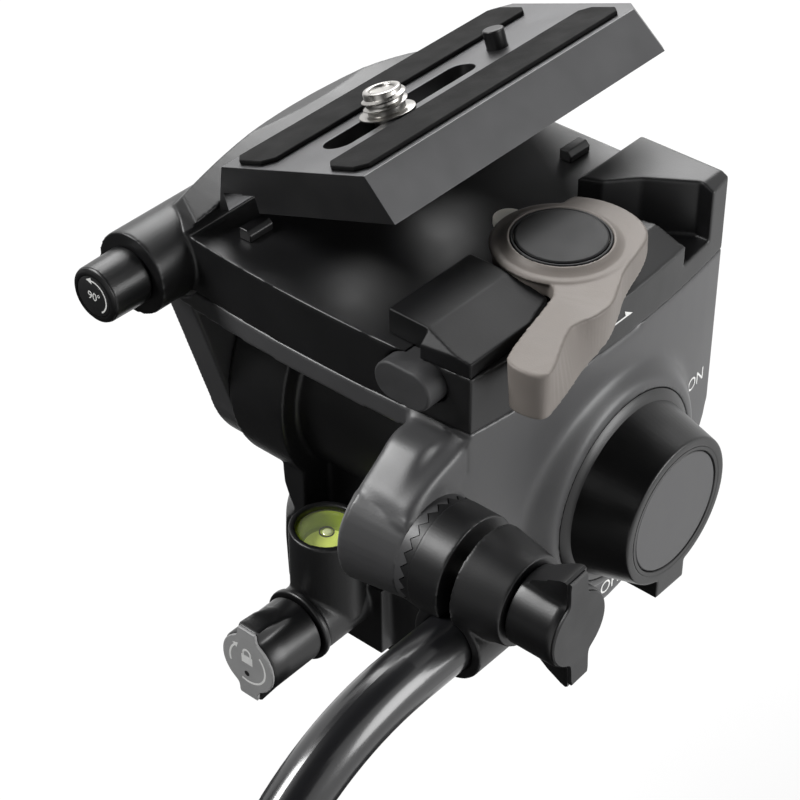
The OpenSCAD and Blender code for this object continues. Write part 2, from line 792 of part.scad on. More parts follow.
module deck() color(black) difference() {
    union() {
        difference() {
            translate([0, 0, seam_z]) linear_extrude(floor_rise) deck_outline(deck_left);
            front_view(ramp_front, ramp_back - ramp_front) polygon([[ramp_x, floor_z],
                [ramp_x + 20, floor_z - 20 * ramp_slope], [ramp_x + 20, floor_z + over], [ramp_x, floor_z + over]]);
            translate([0, 0, seam_z + pocket_rise]) linear_extrude(floor_rise)
                polygon(concat(horn_line, [[60, ramp_back - 1], [41.6, ramp_back - 2]]));
        }
        hinge_space(barrel_r, -barrel_front, barrel_front + barrel_back);
        rail();
        translate([lever_x, -lever_y, floor_z - plinth_root]) cylinder(r = plinth_r, h = plinth_t + plinth_root);
    }
    for (y = [zone_front, zone_back]) {
        hinge_space(knuckle_clear, y, zone_len);
        front_view(y, zone_len) polygon([[-hinge_x, hinge_z], [-hinge_x - 26, hinge_z + 15],
            [-hinge_x - 26, hinge_z - 30], [-hinge_x + 15, hinge_z - 26]]);
    }
    hinge_space(pin_r + run, zone_front - 3, zone_back + zone_len - zone_front + 6);
    hinge_space(flip_stem_r + run, -barrel_front - over, barrel_front - 34);
    hinge_space(flip_spring_r + seat, -barrel_front + 2, 11);
    translate([lever_x, -lever_y, seam_z + 3]) cylinder(r = axle_r + seat, h = floor_rise);
    translate([shoe_x, shoe_y - shoe_w / 2 - gap, floor_z + 0.1])
        cube([trigger_len + trigger_travel + 0.6, shoe_w + 2 * gap, plinth_t + over]);
    front_view(-2 * deck_front, 2 * deck_front - button_back + button_travel + 0.5) button_outline(gap);
    along_y(button_x, -button_back, button_z) cylinder(r = button_spring_r + 0.3, h = 7);
}

module front_block() color(black) difference() {
    intersection() {
        translate([0, 0, floor_z]) linear_extrude(2 * block_h) deck_outline(0);
        front_view(-2 * deck_front, 2 * deck_front - block_back)
            polygon([[block_left, floor_z], [block_left, block_top], [34, block_top], [45.8, floor_z + 3.4],
                [45.8, floor_z]]);
        translate([0, 0, floor_z]) linear_extrude(2 * block_h) polygon([[block_left, -block_step], [34, -block_step],
            [34, -60], [45.8, -60], [45.8, -26], [43.4, -block_back], [block_left, -block_back]]);
    }
    side_view(33, 20) polygon([[-block_step, block_top], [-block_step, block_top + 5], [-60, block_top + 5],
        [-60, block_top - 0.9 * (60 - block_step)]]);
    translate([lever_x, -lever_y, floor_z - over]) cylinder(r = hub_r + 1.6, h = 3 * block_h);
}

module rear_horn() color(black) difference() {
    translate([0, 0, floor_z]) linear_extrude(block_h) intersection() {
        deck_outline(0);
        polygon(concat([[horn_line[0][0], 60]], horn_line, [[60, 60]]));
    }
    front_view(0, 2 * deck_back) polygon([[horn_slope_x, block_top], [horn_slope_x + 16, block_top - 8],
        [horn_slope_x + 16, block_top + over], [horn_slope_x, block_top + over]]);
}

module plate_stops() color(black) for (p = stop_places) translate([p[0], p[1], floor_z])
    front_view(-stop_d / 2, stop_d)
        polygon([[-stop_w / 2, 0], [stop_w / 2, 0], [stop_w / 2, stop_h - 1], [stop_w / 2 - 1, stop_h],
            [-stop_w / 2, stop_h]]);

module lever_axle() color(steel) translate([lever_x, -lever_y, seam_z + 3]) cylinder(r = axle_r, h = hub_z + 3 - seam_z - 3);

module button_spring() color(steel) along_y(button_x, -button_back - 0.5, button_z)
    cylinder(r = button_spring_r, h = 7);

module flip_spring() color(steel) along_y(-hinge_x, -barrel_front + 2.4, hinge_z)
    ring(flip_spring_r, flip_stem_r + gap, 10.2);

// Clamp lever and its trigger
module lever_arm() {
    hull($fn = hull_fn) {
        translate([lever_x, -lever_y, hub_z]) cylinder(r = hub_r - 1, h = hub_t - 1);
        translate([lobe[0], lobe[1], hub_z]) cylinder(r = lobe_end_r, h = hub_t - 2);
        translate([elbow[0], elbow[1], arm_z]) cylinder(r = elbow_r, h = hub_z + hub_t - 2.4 - arm_z);
    }
    hull($fn = hull_fn) {
        translate([elbow[0], elbow[1], arm_z]) cylinder(r = elbow_r, h = hub_z + hub_t - 2.4 - arm_z);
        translate([bend_point[0], bend_point[1], grip_top - grip_h + 2.5]) cylinder(r = arm_r, h = grip_h - 2);
    }
    hull($fn = hull_fn) {
        translate([bend_point[0], bend_point[1], grip_top - grip_h + 2.5]) cylinder(r = arm_r, h = grip_h - 2);
        translate([grip_point[0], grip_point[1], grip_top - grip_h]) cylinder(r = grip_end_r, h = grip_h);
    }
}

module clamp_lever() color(taupe) difference() {
    union() {
        translate([lever_x, -lever_y, hub_z]) cylinder(r = hub_r, h = hub_t);
        lever_arm();
    }
    translate([lever_x, -lever_y, hub_z - over]) cylinder(r = axle_r + run, h = over + 3.2);
    translate([lever_x, -lever_y, hub_top - disc_t]) cylinder(r = hub_disc_r + 0.15, h = 2 * disc_t);
    translate([lever_x, -lever_y, floor_z - over]) cylinder(r = plinth_r + 0.5, h = hub_z - floor_z + over);
    translate([bulge_x, bulge_y, 0]) cylinder(r = bulge_r + 0.5, h = floor_z + 0.5, $fn = 360);
}

module lever_disc() color(black) translate([lever_x, -lever_y, hub_top - disc_t]) cylinder(r = hub_disc_r, h = disc_t + 0.4);

module trigger_shoe() color(cream) difference() {
    translate([0, 0, floor_z + 0.2]) linear_extrude(shoe_t) {
        translate([shoe_x + shoe_w / 2, shoe_y]) circle(r = shoe_w / 2);
        translate([shoe_x + shoe_w / 2, shoe_y - shoe_w / 2]) square([trigger_len - shoe_w / 2, shoe_w]);
    }
    translate([lever_x - trigger_travel, -lever_y, floor_z]) cylinder(r = axle_r + 0.6, h = block_h);
}

module release_button() color(grey) difference() {
    front_view(-button_face, button_face - button_back) button_outline(0);
    along_y(button_x, -button_back - 4, button_z) cylinder(r = button_spring_r + 0.3, h = 5);
}

// Portrait release
module flip_knob() color(black) {
    along_y(-hinge_x, -barrel_front - gap - flip_knob_len, hinge_z)
        cylinder(r1 = flip_knob_r - 0.2, r2 = flip_knob_r, h = flip_knob_len);
    along_y(-hinge_x, -barrel_front - gap - over, hinge_z) cylinder(r = flip_stem_r, h = flip_stem_len);
}

module flip_cap() color(charcoal) along_y(-hinge_x, -barrel_front - gap - flip_knob_len - 0.5, hinge_z)
    cylinder(r = flip_knob_r - over, h = 0.5);

// Sliding plate
module plate_profile() {
    polygon([[0, 0], [plate_w, 0], [plate_w - dovetail, edge_h], [plate_w - top_run, plate_h],
        [top_run, plate_h], [dovetail, edge_h]]);
}

module slot_shape(half, front, back) {
    translate([plate_mid, (front + back) / 2]) rotate([0, 0, 90]) stadium((back - front) / 2, half);
}

module stop_pockets() {
    for (p = stop_places) translate([p[0] - seat_x - stop_w / 2 - 1.2, p[1] - plate_y - stop_d / 2 - 1.2, -over])
        cube([stop_w + 2.4, stop_d + 2.4, stop_h + 1.2 + over]);
}

module slide_plate() color(grey) on_plate() difference() {
    front_view(0, plate_l) plate_profile();
    for (side = [0, 1]) translate([side * plate_w, plate_l, 0]) rotate([0, 0, 135 - 90 * side])
        translate([-corner_cut, 0, 0]) rotate([0, -corner_lean, 0]) translate([0, -plate_h, -plate_h])
            cube([2 * plate_h, 2 * plate_h, 4 * plate_h]);
    translate([0, 0, -over]) linear_extrude(plate_h + 2 * over) slot_shape(slot_w / 2, slot_front, slot_back);
    translate([0, 0, -over]) linear_extrude(channel_h + over)
        slot_shape(channel_half, slot_front - 5, slot_back + 5);
    translate([plate_mid, video_pin_y, -over]) cylinder(r = video_pin_r + run, h = plate_h + 2 * over);
    translate([plate_mid, video_pin_y, -over]) cylinder(r = video_pin_r + 1.6, h = plate_h - 2.4 + over);
    translate([notch_x, -over, -over]) cube([notch_w, notch_l + over, notch_h + over]);
    stop_pockets();
}

module plate_pads() color(black) on_plate() translate([0, 0, plate_h]) linear_extrude(pad_t)
    for (side = [-1, 1]) translate([plate_mid + side * (pad_in + pad_out) / 2, 0])
        polygon(let (h = (pad_out - pad_in) / 2) [[-h, pad_front + pad_cut], [-h + pad_cut, pad_front],
            [h - pad_cut, pad_front], [h, pad_front + pad_cut], [h, plate_l - pad_front - pad_cut - 3],
            [h - pad_cut, plate_l - pad_front - 3], [-h + pad_cut, plate_l - pad_front - 3],
            [-h, plate_l - pad_front - pad_cut - 3]]);

module screw_washer() color(steel) on_plate() translate([plate_mid, screw_y, channel_h - washer_t - seat])
    ring(head_r, slot_w / 2 - 0.25, washer_t);

module camera_screw() color(steel) on_plate() translate([plate_mid, screw_y, 0]) {
    translate([0, 0, 0.8]) cylinder(r = head_r - 0.3, h = channel_h - washer_t - 1.1);
    translate([0, 0, 0.8]) cylinder(r = slot_w / 2 - 0.3, h = plate_h + 1);
    translate([0, 0, plate_h + 0.15]) cylinder(r = screw_r + 1.2, h = 1.4);
    translate([0, 0, plate_h + 0.15]) cylinder(r = screw_r, h = pad_t + screw_h - 0.15);
}

module video_pin() color(black) on_plate() translate([plate_mid, video_pin_y, 0]) {
    translate([0, 0, plate_h - 2.9 - 1.4]) cylinder(r = video_pin_r + 1.3, h = 1.6);
    translate([0, 0, plate_h - 2.9]) cylinder(r = video_pin_r, h = 2.9 + pad_t + video_pin_h);
}

module pin_spring() color(steel) on_plate() translate([plate_mid, video_pin_y, 0.1])
    ring(video_pin_r + 1.5, video_pin_r, plate_h - 2.9 - 1.4 - video_pin_travel - 0.3);

// Handle
module tube_socket(x, width) {
    intersection() {
        along_y(tube_x, -socket_front, tube_z) cylinder(r = socket_r, h = socket_front - socket_back);
        translate([x, -2 * socket_front, 0]) cube([width, 2 * socket_front, 2 * rosette_z]);
    }
}

module clamp_cuts() {
    along_y(tube_x, -socket_front - over, tube_z) cylinder(r = tube_r + seat, h = 2 * socket_front);
    along_x(rosette_x, -rosette_y, rosette_z) cylinder(r = bolt_r + run, h = 2 * deck_right);
}

module clamp_inner() color(black) difference() {
    union() {
        along_x(spigot_x, -rosette_y, rosette_z) cylinder(r = rosette_r - skirt_t - gap, h = split_in - spigot_x);
        along_x(clamp_x, -rosette_y, rosette_z) cylinder(r = clamp_r, h = split_in - clamp_x);
        tube_socket(clamp_x, split_in - clamp_x);
    }
    clamp_cuts();
}

module clamp_outer() color(black) difference() {
    union() {
        along_x(split_out, -rosette_y, rosette_z)
            cylinder(r1 = rosette_r, r2 = clamp_end_r, h = clamp_end - split_out);
        tube_socket(split_out, tube_x + socket_r - split_out);
    }
    clamp_cuts();
}

// Something laid along the straight end of the tube, from a distance past the bend
module past_bend(distance) {
    translate([tube_x, -tube_straight - bend_r * sin(bend), tube_z - bend_r * (1 - cos(bend))])
        rotate([90 + bend, 0, 0]) translate([0, 0, distance]) children();
}

// The bend is a hair thicker than the straights, which run a little way into it
module tube_core(r, extra) {
    translate([tube_x, extra - tube_start, tube_z]) rotate([90, 0, 0])
        cylinder(r = r, h = tube_straight - tube_start + extra + over);
    translate([tube_x, -tube_straight, tube_z - bend_r]) rotate([0, -90, 0]) rotate([0, 0, -bend])
        rotate_extrude(angle = bend) translate([bend_r, 0]) circle(r = r + bend_swell);
    past_bend(-over) cylinder(r = r, h = tube_len + extra + over);
}

module handle_tube() color(black) difference() {
    tube_core(tube_r, 0);
    tube_core(tube_r - tube_wall, over);
}

module handle_grip() color(black) past_bend(tube_len - grip_len) difference() {
    union() {
        cylinder(r1 = tube_r + 2, r2 = grip_r, h = 8);
        translate([0, 0, 8]) cylinder(r = grip_r, h = grip_len - 8);
    }
    translate([0, 0, -over]) cylinder(r = tube_r + seat, h = grip_len + 2 * over);
}

module grip_plug() color(black) past_bend(tube_len) {
    cylinder(r1 = grip_r, r2 = grip_r - 1.5, h = plug_head);
    translate([0, 0, -plug_len]) cylinder(r = tube_r - tube_wall - seat, h = plug_len + over);
}

module wing_knob() color(black) wing_axis(wing_x) difference() {
    union() {
        cylinder(r = knob_r, h = wing_len);
        intersection() {
            translate([-fin_reach, -fin_w / 2, 0]) cube([2 * fin_reach, fin_w, wing_len]);
            cylinder(r1 = knob_r - over, r2 = fin_reach, h = wing_len);
        }
    }
    translate([0, 0, -over]) cylinder(r = bolt_r + run, h = wing_len - 2 + over);
}

module wing_cap() color(black) wing_axis(wing_x + wing_len) linear_extrude(cap_t) wing_face(cap_inset);

base_plate();
thread_insert();
base_screws();
pan_spindle();
pan_drag_stator();
pan_nut();
pan_housing();
pan_bushes();
pan_drag_rotor();
level_vial();
level_glass();
pan_lock_collar();
tilt_bushes();
tilt_drag_cartridge();
pan_lock_knob();
pan_lock_cap();
pan_lock_stem();
pan_brake_shoe();
cradle();
tilt_shaft();
balance_spring();
rosette_ring();
handle_bolt();
hinge_pin();
tilt_lock_knob();
tilt_lock_cap();
tilt_lock_stem();
balance_knob();
balance_disc();
deck();
front_block();
rear_horn();
plate_stops();
lever_axle();
button_spring();
flip_spring();
clamp_lever();
lever_disc();
trigger_shoe();
release_button();
flip_knob();
flip_cap();
slide_plate();
plate_pads();
pin_spring();
screw_washer();
camera_screw();
video_pin();
clamp_inner();
clamp_outer();
handle_tube();
handle_grip();
grip_plug();
wing_knob();
wing_cap();
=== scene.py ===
import json
import math

import bmesh
import bpy
from bpy.props import FloatProperty, FloatVectorProperty, IntProperty, PointerProperty
from mathutils import Matrix, Vector


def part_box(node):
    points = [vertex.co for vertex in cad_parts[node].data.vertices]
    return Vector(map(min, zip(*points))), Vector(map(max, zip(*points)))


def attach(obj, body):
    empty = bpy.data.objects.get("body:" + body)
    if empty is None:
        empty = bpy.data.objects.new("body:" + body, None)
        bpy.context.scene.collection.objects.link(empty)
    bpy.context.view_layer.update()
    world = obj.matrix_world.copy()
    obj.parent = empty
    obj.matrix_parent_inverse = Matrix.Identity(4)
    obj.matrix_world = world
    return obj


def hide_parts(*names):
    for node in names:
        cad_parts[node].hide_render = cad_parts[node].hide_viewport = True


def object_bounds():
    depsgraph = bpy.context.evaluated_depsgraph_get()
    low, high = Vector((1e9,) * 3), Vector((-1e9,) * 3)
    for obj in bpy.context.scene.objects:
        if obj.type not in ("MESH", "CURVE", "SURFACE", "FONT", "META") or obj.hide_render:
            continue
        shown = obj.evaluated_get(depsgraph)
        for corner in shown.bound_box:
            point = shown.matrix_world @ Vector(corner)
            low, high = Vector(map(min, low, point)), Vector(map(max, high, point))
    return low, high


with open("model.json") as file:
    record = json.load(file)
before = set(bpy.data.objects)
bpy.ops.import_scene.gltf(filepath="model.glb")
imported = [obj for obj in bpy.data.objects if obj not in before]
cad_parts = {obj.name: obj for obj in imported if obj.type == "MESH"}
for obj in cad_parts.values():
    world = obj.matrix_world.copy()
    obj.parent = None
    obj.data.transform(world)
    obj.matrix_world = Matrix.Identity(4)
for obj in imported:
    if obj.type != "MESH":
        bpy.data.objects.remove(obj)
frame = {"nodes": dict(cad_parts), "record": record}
CAD_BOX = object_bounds()
MM = 0.001
JOINTS = {joint["name"]: joint for joint in frame["record"]["behaviour"]["joints"]}
SLOT_OF = {part["node"]: part["material_slot"] for part in frame["record"]["subparts"]}
BODY_OF = {node: body for body, nodes in frame["record"]["behaviour"]["bodies"].items() for node in nodes}

# The bulged right side is part of an upright cylinder, given by its axis and radius in millimetres
SIDE_AXIS = (-215.43, -1.7)
SIDE_RADIUS = 264.83
# Where the straight end of the handle's tube begins in millimetres, and the way it points
GRIP_START = (58.2, -110.33, 51.5)
GRIP_WAY = (0, -0.809, -0.588)
# The tilt axis and the axis of the handle joint run along X; these are their Y and Z in millimetres
TILT_AXIS = (0, 57.6)
HANDLE_AXIS = (-55, 73)
# The wing of the handle's knob leans four degrees from upright at rest
WING_WAY = (0, 0.0698, -0.9976)
# Turns of thread that stand out of the plate
SCREW_TURNS = 2.25
# Rounds of extra softening on the web and where the right cheek swells out to the counterbalance knob
SWELL_TURNS = 40
# Left side of the web at the handle joint, in millimetres along X
WEB_LEFT = 31.9
# Most triangles that each cast piece may have
CRADLE_LIMIT = 190000
HOUSING_LIMIT = 140000
DECK_LIMIT = 195000
LEVER_LIMIT = 90000
SMALL_LIMIT = 60000
# Steps round a large disc, a small turned piece and the level
LARGE_ROUND = 96
SMALL_ROUND = 72
LEVEL_ROUND = 64
# Thickness of a pad print, in metres
INK = 0.06 * MM
# Plan of the clamp lever in millimetres: X, Y and height of its upper edge, then X and height of its foot
LEVER_PLAN = (
    (26.0, 10.2, 113.9, 26.0, 112.8), (30.6, 13.3, 113.9, 30.6, 112.8), (36.5, 14.6, 113.9, 36.5, 112.8),
    (42.6, 13.6, 113.9, 42.6, 112.4), (47.4, 10.6, 113.9, 47.4, 110.4), (49.4, 5.8, 113.9, 49.9, 109.0),
    (51.4, -3.6, 113.8, 51.9, 107.4), (54.0, -8.4, 113.7, 54.1, 105.6), (56.4, -13.6, 113.5, 55.8, 104.2),
    (56.4, -18.4, 113.3, 56.2, 103.2), (55.0, -21.6, 113.0, 56.5, 102.6), (54.2, -24.0, 112.8, 56.8, 102.2),
    (55.2, -27.4, 112.4, 57.6, 101.8), (59.4, -36.0, 111.4, 59.3, 101.0), (58.8, -38.6, 111.2, 59.0, 100.9),
    (55.4, -39.8, 111.2, 55.6, 100.8), (51.0, -39.6, 111.2, 51.4, 100.9), (49.0, -37.2, 111.4, 50.6, 101.0),
    (46.4, -22.4, 113.0, 47.0, 109.6), (45.6, -18.4, 113.4, 45.6, 109.8), (43.4, -16.2, 113.6, 43.4, 109.9),
    (40.0, -15.6, 113.8, 40.0, 110.0), (33.0, -13.4, 113.9, 33.0, 111.0))

# Black cards out of the camera's sight: name, middle in metres, facing, half width in metres
CARDS = (
    ("floor_card", (-0.35, -0.48, CAD_BOX[0][2] - 0.001), (0, 0, 1), 0.5),
    ("front_card", (-1.2, -1.45, 0.9), (0.64, 0.77, 0), 1.4),
    ("top_card", (-0.3, -0.5, 1.9), (0, 0, -1), 1.7),
    ("camera_card", (0.50, -0.58, 0.62), (-0.515, 0.599, -0.613), 0.35))
# Soft lights: name, place and aim in metres, width in metres, power in watts
LAMPS = (
    ("back_softbox", (-0.62, 0.72, 0.82), (0, 0, 0.09), 0.9, 14.0),
    ("top_softbox", (-0.60, -0.54, 0.80), (0, 0, 0.09), 0.45, 13.0),
    ("right_softbox", (0.95, 0.35, 0.30), (0.04, 0, 0.06), 0.6, 8.0))
# The camera of the photograph: place in millimetres, the way back from its view, its right, and its lens
CAMERA_PLACE = (273.8, -329.5, 385.8)
CAMERA_BACK = (0.5153, -0.5991, 0.6129)
CAMERA_RIGHT = (0.7581, 0.6521, 0.0)
CAMERA_LENS = 109.35
FLOOR_HALF_WIDTH = 6.0
# How pale the paper is, how much of its own glow the eye sees, and how much light the world gives
PAPER_WHITE = 0.86
PAPER_GLOW = 0.86
WORLD_LIGHT = 0.1

bl_info = {
    "name": "Fluid video head",
    "version": (1, 0, 0),
    "blender": (4, 5, 0),
    "location": "View3D > Sidebar > Video Head",
    "description": "Dresses the fluid video head: soft castings, turned metal, rubber, level and prints",
    "category": "Object",
}


def linear(code):
    """Linear colour of an sRGB hex value."""
    channels = [int(code[i:i + 2], 16) / 255 for i in (1, 3, 5)]
    return [c / 12.92 if c <= 0.04045 else ((c + 0.055) / 1.055) ** 2.4 for c in channels]


class HeadSizes(bpy.types.PropertyGroup):
    """Sizes that a user would change."""
    casting_step: FloatProperty(name="Casting step", description="Mesh step of the large castings",
                                default=0.42 * MM, min=0.3 * MM, unit="LENGTH")
    deck_step: FloatProperty(name="Deck step", description="Mesh step of the deck, whose seams are finer",
                             default=0.36 * MM, min=0.3 * MM, unit="LENGTH")
    small_step: FloatProperty(name="Small part step",
                              description="Mesh step of knobs, lever and clamp halves",
                              default=0.3 * MM, min=0.2 * MM, unit="LENGTH")
    casting_softness: IntProperty(name="Casting softness",
                                  description="How far the edges of the castings are worn round",
                                  default=3, min=1)
    machined_edge: FloatProperty(name="Machined edge", description="Broken edge of the machined plate",
                                 default=0.35 * MM, min=0, unit="LENGTH")
    moulded_edge: FloatProperty(name="Moulded edge", description="Round edge of caps, collars and pads",
                                default=0.3 * MM, min=0, unit="LENGTH")
    screw_pitch: FloatProperty(name="Screw pitch", description="Pitch of the 3/8 inch camera screw",
                               default=1.5875 * MM, min=0.5 * MM, unit="LENGTH")
    letter_size: FloatProperty(name="Letter size", description="Type size of the ON and OFF prints",
                               default=4.7 * MM, min=1 * MM, unit="LENGTH")
    rib_pitch: FloatProperty(name="Grip rib pitch", description="Spacing of the ribs of the rubber grip",
                             default=4.0 * MM, min=2 * MM, unit="LENGTH")


class HeadColours(bpy.types.PropertyGroup):
    """Colours that a user would change."""
    charcoal: FloatVectorProperty(name="Charcoal coat", description="Powder coat of the tilting cradle",
                                  subtype="COLOR", default=linear("#444445"), min=0, max=1)
    black_coat: FloatVectorProperty(name="Black coat", description="Paint of deck and pan housing",
                                    subtype="COLOR", default=linear("#101011"), min=0, max=1)
    black_moulding: FloatVectorProperty(name="Black moulding", description="Plastic of knobs",
                                        subtype="COLOR", default=linear("#0c0c0d"), min=0, max=1)
    plate_grey: FloatVectorProperty(name="Plate grey", description="Anodised camera plate",
                                    subtype="COLOR", default=linear("#5a5a5b"), min=0, max=1)
    taupe: FloatVectorProperty(name="Taupe", description="Metallic paint of the clamp lever",
                               subtype="COLOR", default=linear("#78726d"), min=0, max=1)
    face_grey: FloatVectorProperty(name="Face grey", description="Grey faces of the lock knobs",
                                   subtype="COLOR", default=linear("#9c9c9c"), min=0, max=1)
    level_green: FloatVectorProperty(name="Level green", description="Liquid of the spirit level",
                                     subtype="COLOR", default=linear("#8a9c1c"), min=0, max=1)
    ink: FloatVectorProperty(name="Ink", description="White pad print",
                             subtype="COLOR", default=linear("#e8e8e6"), min=0, max=1)


def sizes():
    return bpy.context.scene.head_sizes


def colours():
    return bpy.context.scene.head_colours


def add_node(tree, kind, values=None, links=None, **settings):
    """Add a node, set its own settings and the values of its inputs, and link inputs to sockets."""
    node = tree.nodes.new(kind)
    for key, value in settings.items():
        setattr(node, key, value)
    for key, value in (values or {}).items():
        node.inputs[key].default_value = value
    for key, socket in (links or {}).items():
        tree.links.new(socket, node.inputs[key])
    return node


def grained_surface(name, colour, grain, depth, roughness, spread, mottle, shader=None):
    """A surface with a fine grain, patchy gloss and a slow drift in shade.

    Grain, its depth and mottle are real sizes in millimetres; spread is how far the roughness wanders.
    """
    material = bpy.data.materials.get(name)
    if material:
        return material
    material = bpy.data.materials.new(name)
    material.use_nodes = True
    tree = material.node_tree
    tree.nodes.clear()
    place = add_node(tree, "ShaderNodeTexCoord")
    fine = add_node(tree, "ShaderNodeTexNoise", {"Scale": 1 / (grain * MM), "Detail": 3.0, "Roughness": 0.6},
                    {"Vector": place.outputs["Object"]})
    slow = add_node(tree, "ShaderNodeTexNoise", {"Scale": 1 / (mottle * MM), "Detail": 2.0},
                    {"Vector": place.outputs["Object"]})
    dark = (*[c * 0.86 for c in colour], 1)
    light = (*[min(1, c * 1.14) for c in colour], 1)
    shade = add_node(tree, "ShaderNodeMix", {6: dark, 7: light}, {"Factor": slow.outputs["Fac"]},
                     data_type="RGBA")
    gloss = add_node(tree, "ShaderNodeMapRange",
                     {"From Min": 0.3, "From Max": 0.7, "To Min": roughness - spread,
                      "To Max": roughness + spread},
                     {"Value": slow.outputs["Fac"]})
    bump = add_node(tree, "ShaderNodeBump", {"Strength": 0.6, "Distance": depth * MM},
                    {"Height": fine.outputs["Fac"]})
    surface = add_node(tree, "ShaderNodeBsdfPrincipled", shader,
                       {"Base Color": shade.outputs[2], "Roughness": gloss.outputs["Result"],
                        "Normal": bump.outputs["Normal"]})
    add_node(tree, "ShaderNodeOutputMaterial", None, {"Surface": surface.outputs["BSDF"]})
    return material


def finish(slot):
    """The material of a slot of the record, or of a look of this script's own, made once."""
    c = colours()
    # The liquid's green, used also for its faint painted glow
    green = (*c.level_green, 1)
    # Colour of the painted glow on the floor of the level
    glow = (*linear("#c8d860"), 1)
    recipes = {
        # Powder coat on a zinc casting: a fine orange peel that breaks up the highlights
        "charcoal_casting": ("powder_coated_casting", c.charcoal, 0.45, 0.03, 0.4, 0.03, 14),
        # Black painted casting: the same peel, a little finer
        "black_casting": ("black_painted_casting", c.black_coat, 0.4, 0.025, 0.42, 0.03, 12),
        # Matt paint of the front block: its top stays dark beside the lever
        "matt_casting": ("matt_painted_casting", c.black_coat, 0.4, 0.025, 0.46, 0.03, 12,
                         {"Specular IOR Level": 0.2}),
        # Moulded ABS: spark-eroded tool grain, soft sheen
        "black_plastic": ("moulded_black_abs", c.black_moulding, 0.3, 0.02, 0.36, 0.04, 9),
        # Bead-blasted and anodised aluminium: matt metal with a fine sparkle
        "anodised_grey": ("anodised_aluminium", c.plate_grey, 0.22, 0.015, 0.36, 0.03, 10,
                          {"Metallic": 0.95}),
        # Turned stainless steel: bright, with soft glints along the thread
        "steel": ("turned_stainless_steel", linear("#a9a7a3"), 0.5, 0.01, 0.3, 0.04, 3, {"Metallic": 1.0}),
        # Sintered bronze of the bushes and drag rings: warm and grainy
        "bronze": ("sintered_bronze", linear("#a07a45"), 0.25, 0.02, 0.38, 0.06, 5, {"Metallic": 1.0}),
        # Metallic stove enamel: taupe with a fine flake
        "taupe_metal": ("taupe_metallic_enamel", c.taupe, 0.3, 0.04, 0.5, 0.04, 8,
                        {"Metallic": 0.1, "Specular IOR Level": 0.3}),
        # Grey ABS of the lock knobs' faces: pale and even
        "grey_face": ("grey_abs_face", c.face_grey, 0.25, 0.015, 0.45, 0.05, 7),
        # Dark ABS of the wing and flip knobs' faces: a shade lighter than the knobs
        "dark_face": ("dark_abs_face", linear("#1a1a1b"), 0.25, 0.015, 0.5, 0.05, 7),
        # Grey printed foil on the counterbalance knob: flat and even
        "disc_face": ("grey_printed_foil", linear("#4c4c4d"), 0.3, 0.01, 0.5, 0.04, 8),
        # Matt black moulding of the lever's cover: hardly any sheen
        "disc_black": ("matt_black_abs", linear("#161617"), 0.3, 0.015, 0.45, 0.04, 8,
                       {"Specular IOR Level": 0.16}),
        # Soft-touch rubber of the release button: dull grey
        "button_face": ("soft_touch_button", linear("#333334"), 0.4, 0.04, 0.6, 0.05, 5),
        # Cellular rubber of the camera pads: pebbled and dull
        "pad_rubber": ("pebbled_pad_rubber", linear("#0d0d0d"), 0.5, 0.08, 0.75, 0.05, 6,
                       {"Specular IOR Level": 0.12}),
        # Moulded rubber of the grip: dull, with a leathery grain
        "grip_rubber": ("moulded_grip_rubber", linear("#1c1c1d"), 0.5, 0.05, 0.75, 0.06, 9),
        # Enamelled steel tube: dark, with a clear glossy coat
        "black_tube": ("enamelled_steel_tube", linear("#171719"), 1.2, 0.004, 0.28, 0.005, 20,
                       {"Coat Weight": 0.5, "Coat Roughness": 0.12}),
        # Dyed spirit under its window: wet, clear gloss, with a faint painted glow of its own green
        "level_liquid": ("dyed_level_spirit_painted_glow", c.level_green, 3, 0.004, 0.25, 0.05, 6,
                         {"Emission Color": green, "Emission Strength": 0.06}),
        # Painted light: the floor of the level is painted as a paler, glowing copy of the liquid, for light
        # that gathers there against its darker walls
        "painted_glow_level_floor": ("painted_glow_level_spirit", linear("#d4e070"), 3, 0.004, 0.25, 0.05, 6,
                        {"Emission Color": glow, "Emission Strength": 0.22}),
        # Acrylic window of the level: nearly unseen, with a faint glint
        "level_glass": ("level_window_acrylic", linear("#f2f6d8"), 3, 0.002, 0.06, 0.02, 6,
                        {"Alpha": 0.05, "Specular IOR Level": 0.3}),
        # Cream acetal of the trigger shoe: pale and waxy
        "cream_plastic": ("cream_acetal", linear("#fff8ea"), 0.3, 0.015, 0.45, 0.05, 5),
        # White pad print: crisp and matt
        "ink": ("white_pad_print_ink", c.ink, 0.2, 0.004, 0.55, 0.05, 3),
        # Black pad print: crisp and matt
        "black_ink": ("black_pad_print_ink", linear("#161616"), 0.2, 0.004, 0.5, 0.05, 3),
        # Gas bubble in the level: pale, with a wet glint
        "bubble": ("level_bubble_gas", linear("#e4ecb0"), 2, 0.002, 0.12, 0.03, 4,
                   {"Coat Weight": 1.0, "Coat Roughness": 0.02}),
    }
    return grained_surface(*recipes[slot])


def set_down(mesh, name, body, slot, look=None, stands_for=(), crease=40):
    """Turn a bmesh into a piece that rides on a body."""
    data = bpy.data.meshes.new(name)
    mesh.to_mesh(data)
    mesh.free()
    data.materials.append(finish(look or slot))
    data.polygons.foreach_set("use_smooth", [True] * len(data.polygons))
    data.set_sharp_from_angle(angle=math.radians(crease))
    piece = bpy.data.objects.new(name, data)
    bpy.context.scene.collection.objects.link(piece)
    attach(piece, body)
    if stands_for:
        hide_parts(*stands_for)
    return piece


def merged_copy(node):
    """A closed copy of a CAD node's mesh, with its doubled points merged."""
    mesh = bmesh.new()
    mesh.from_mesh(frame["nodes"][node].data)
    bmesh.ops.remove_doubles(mesh, verts=mesh.verts, dist=2e-6)
    return mesh


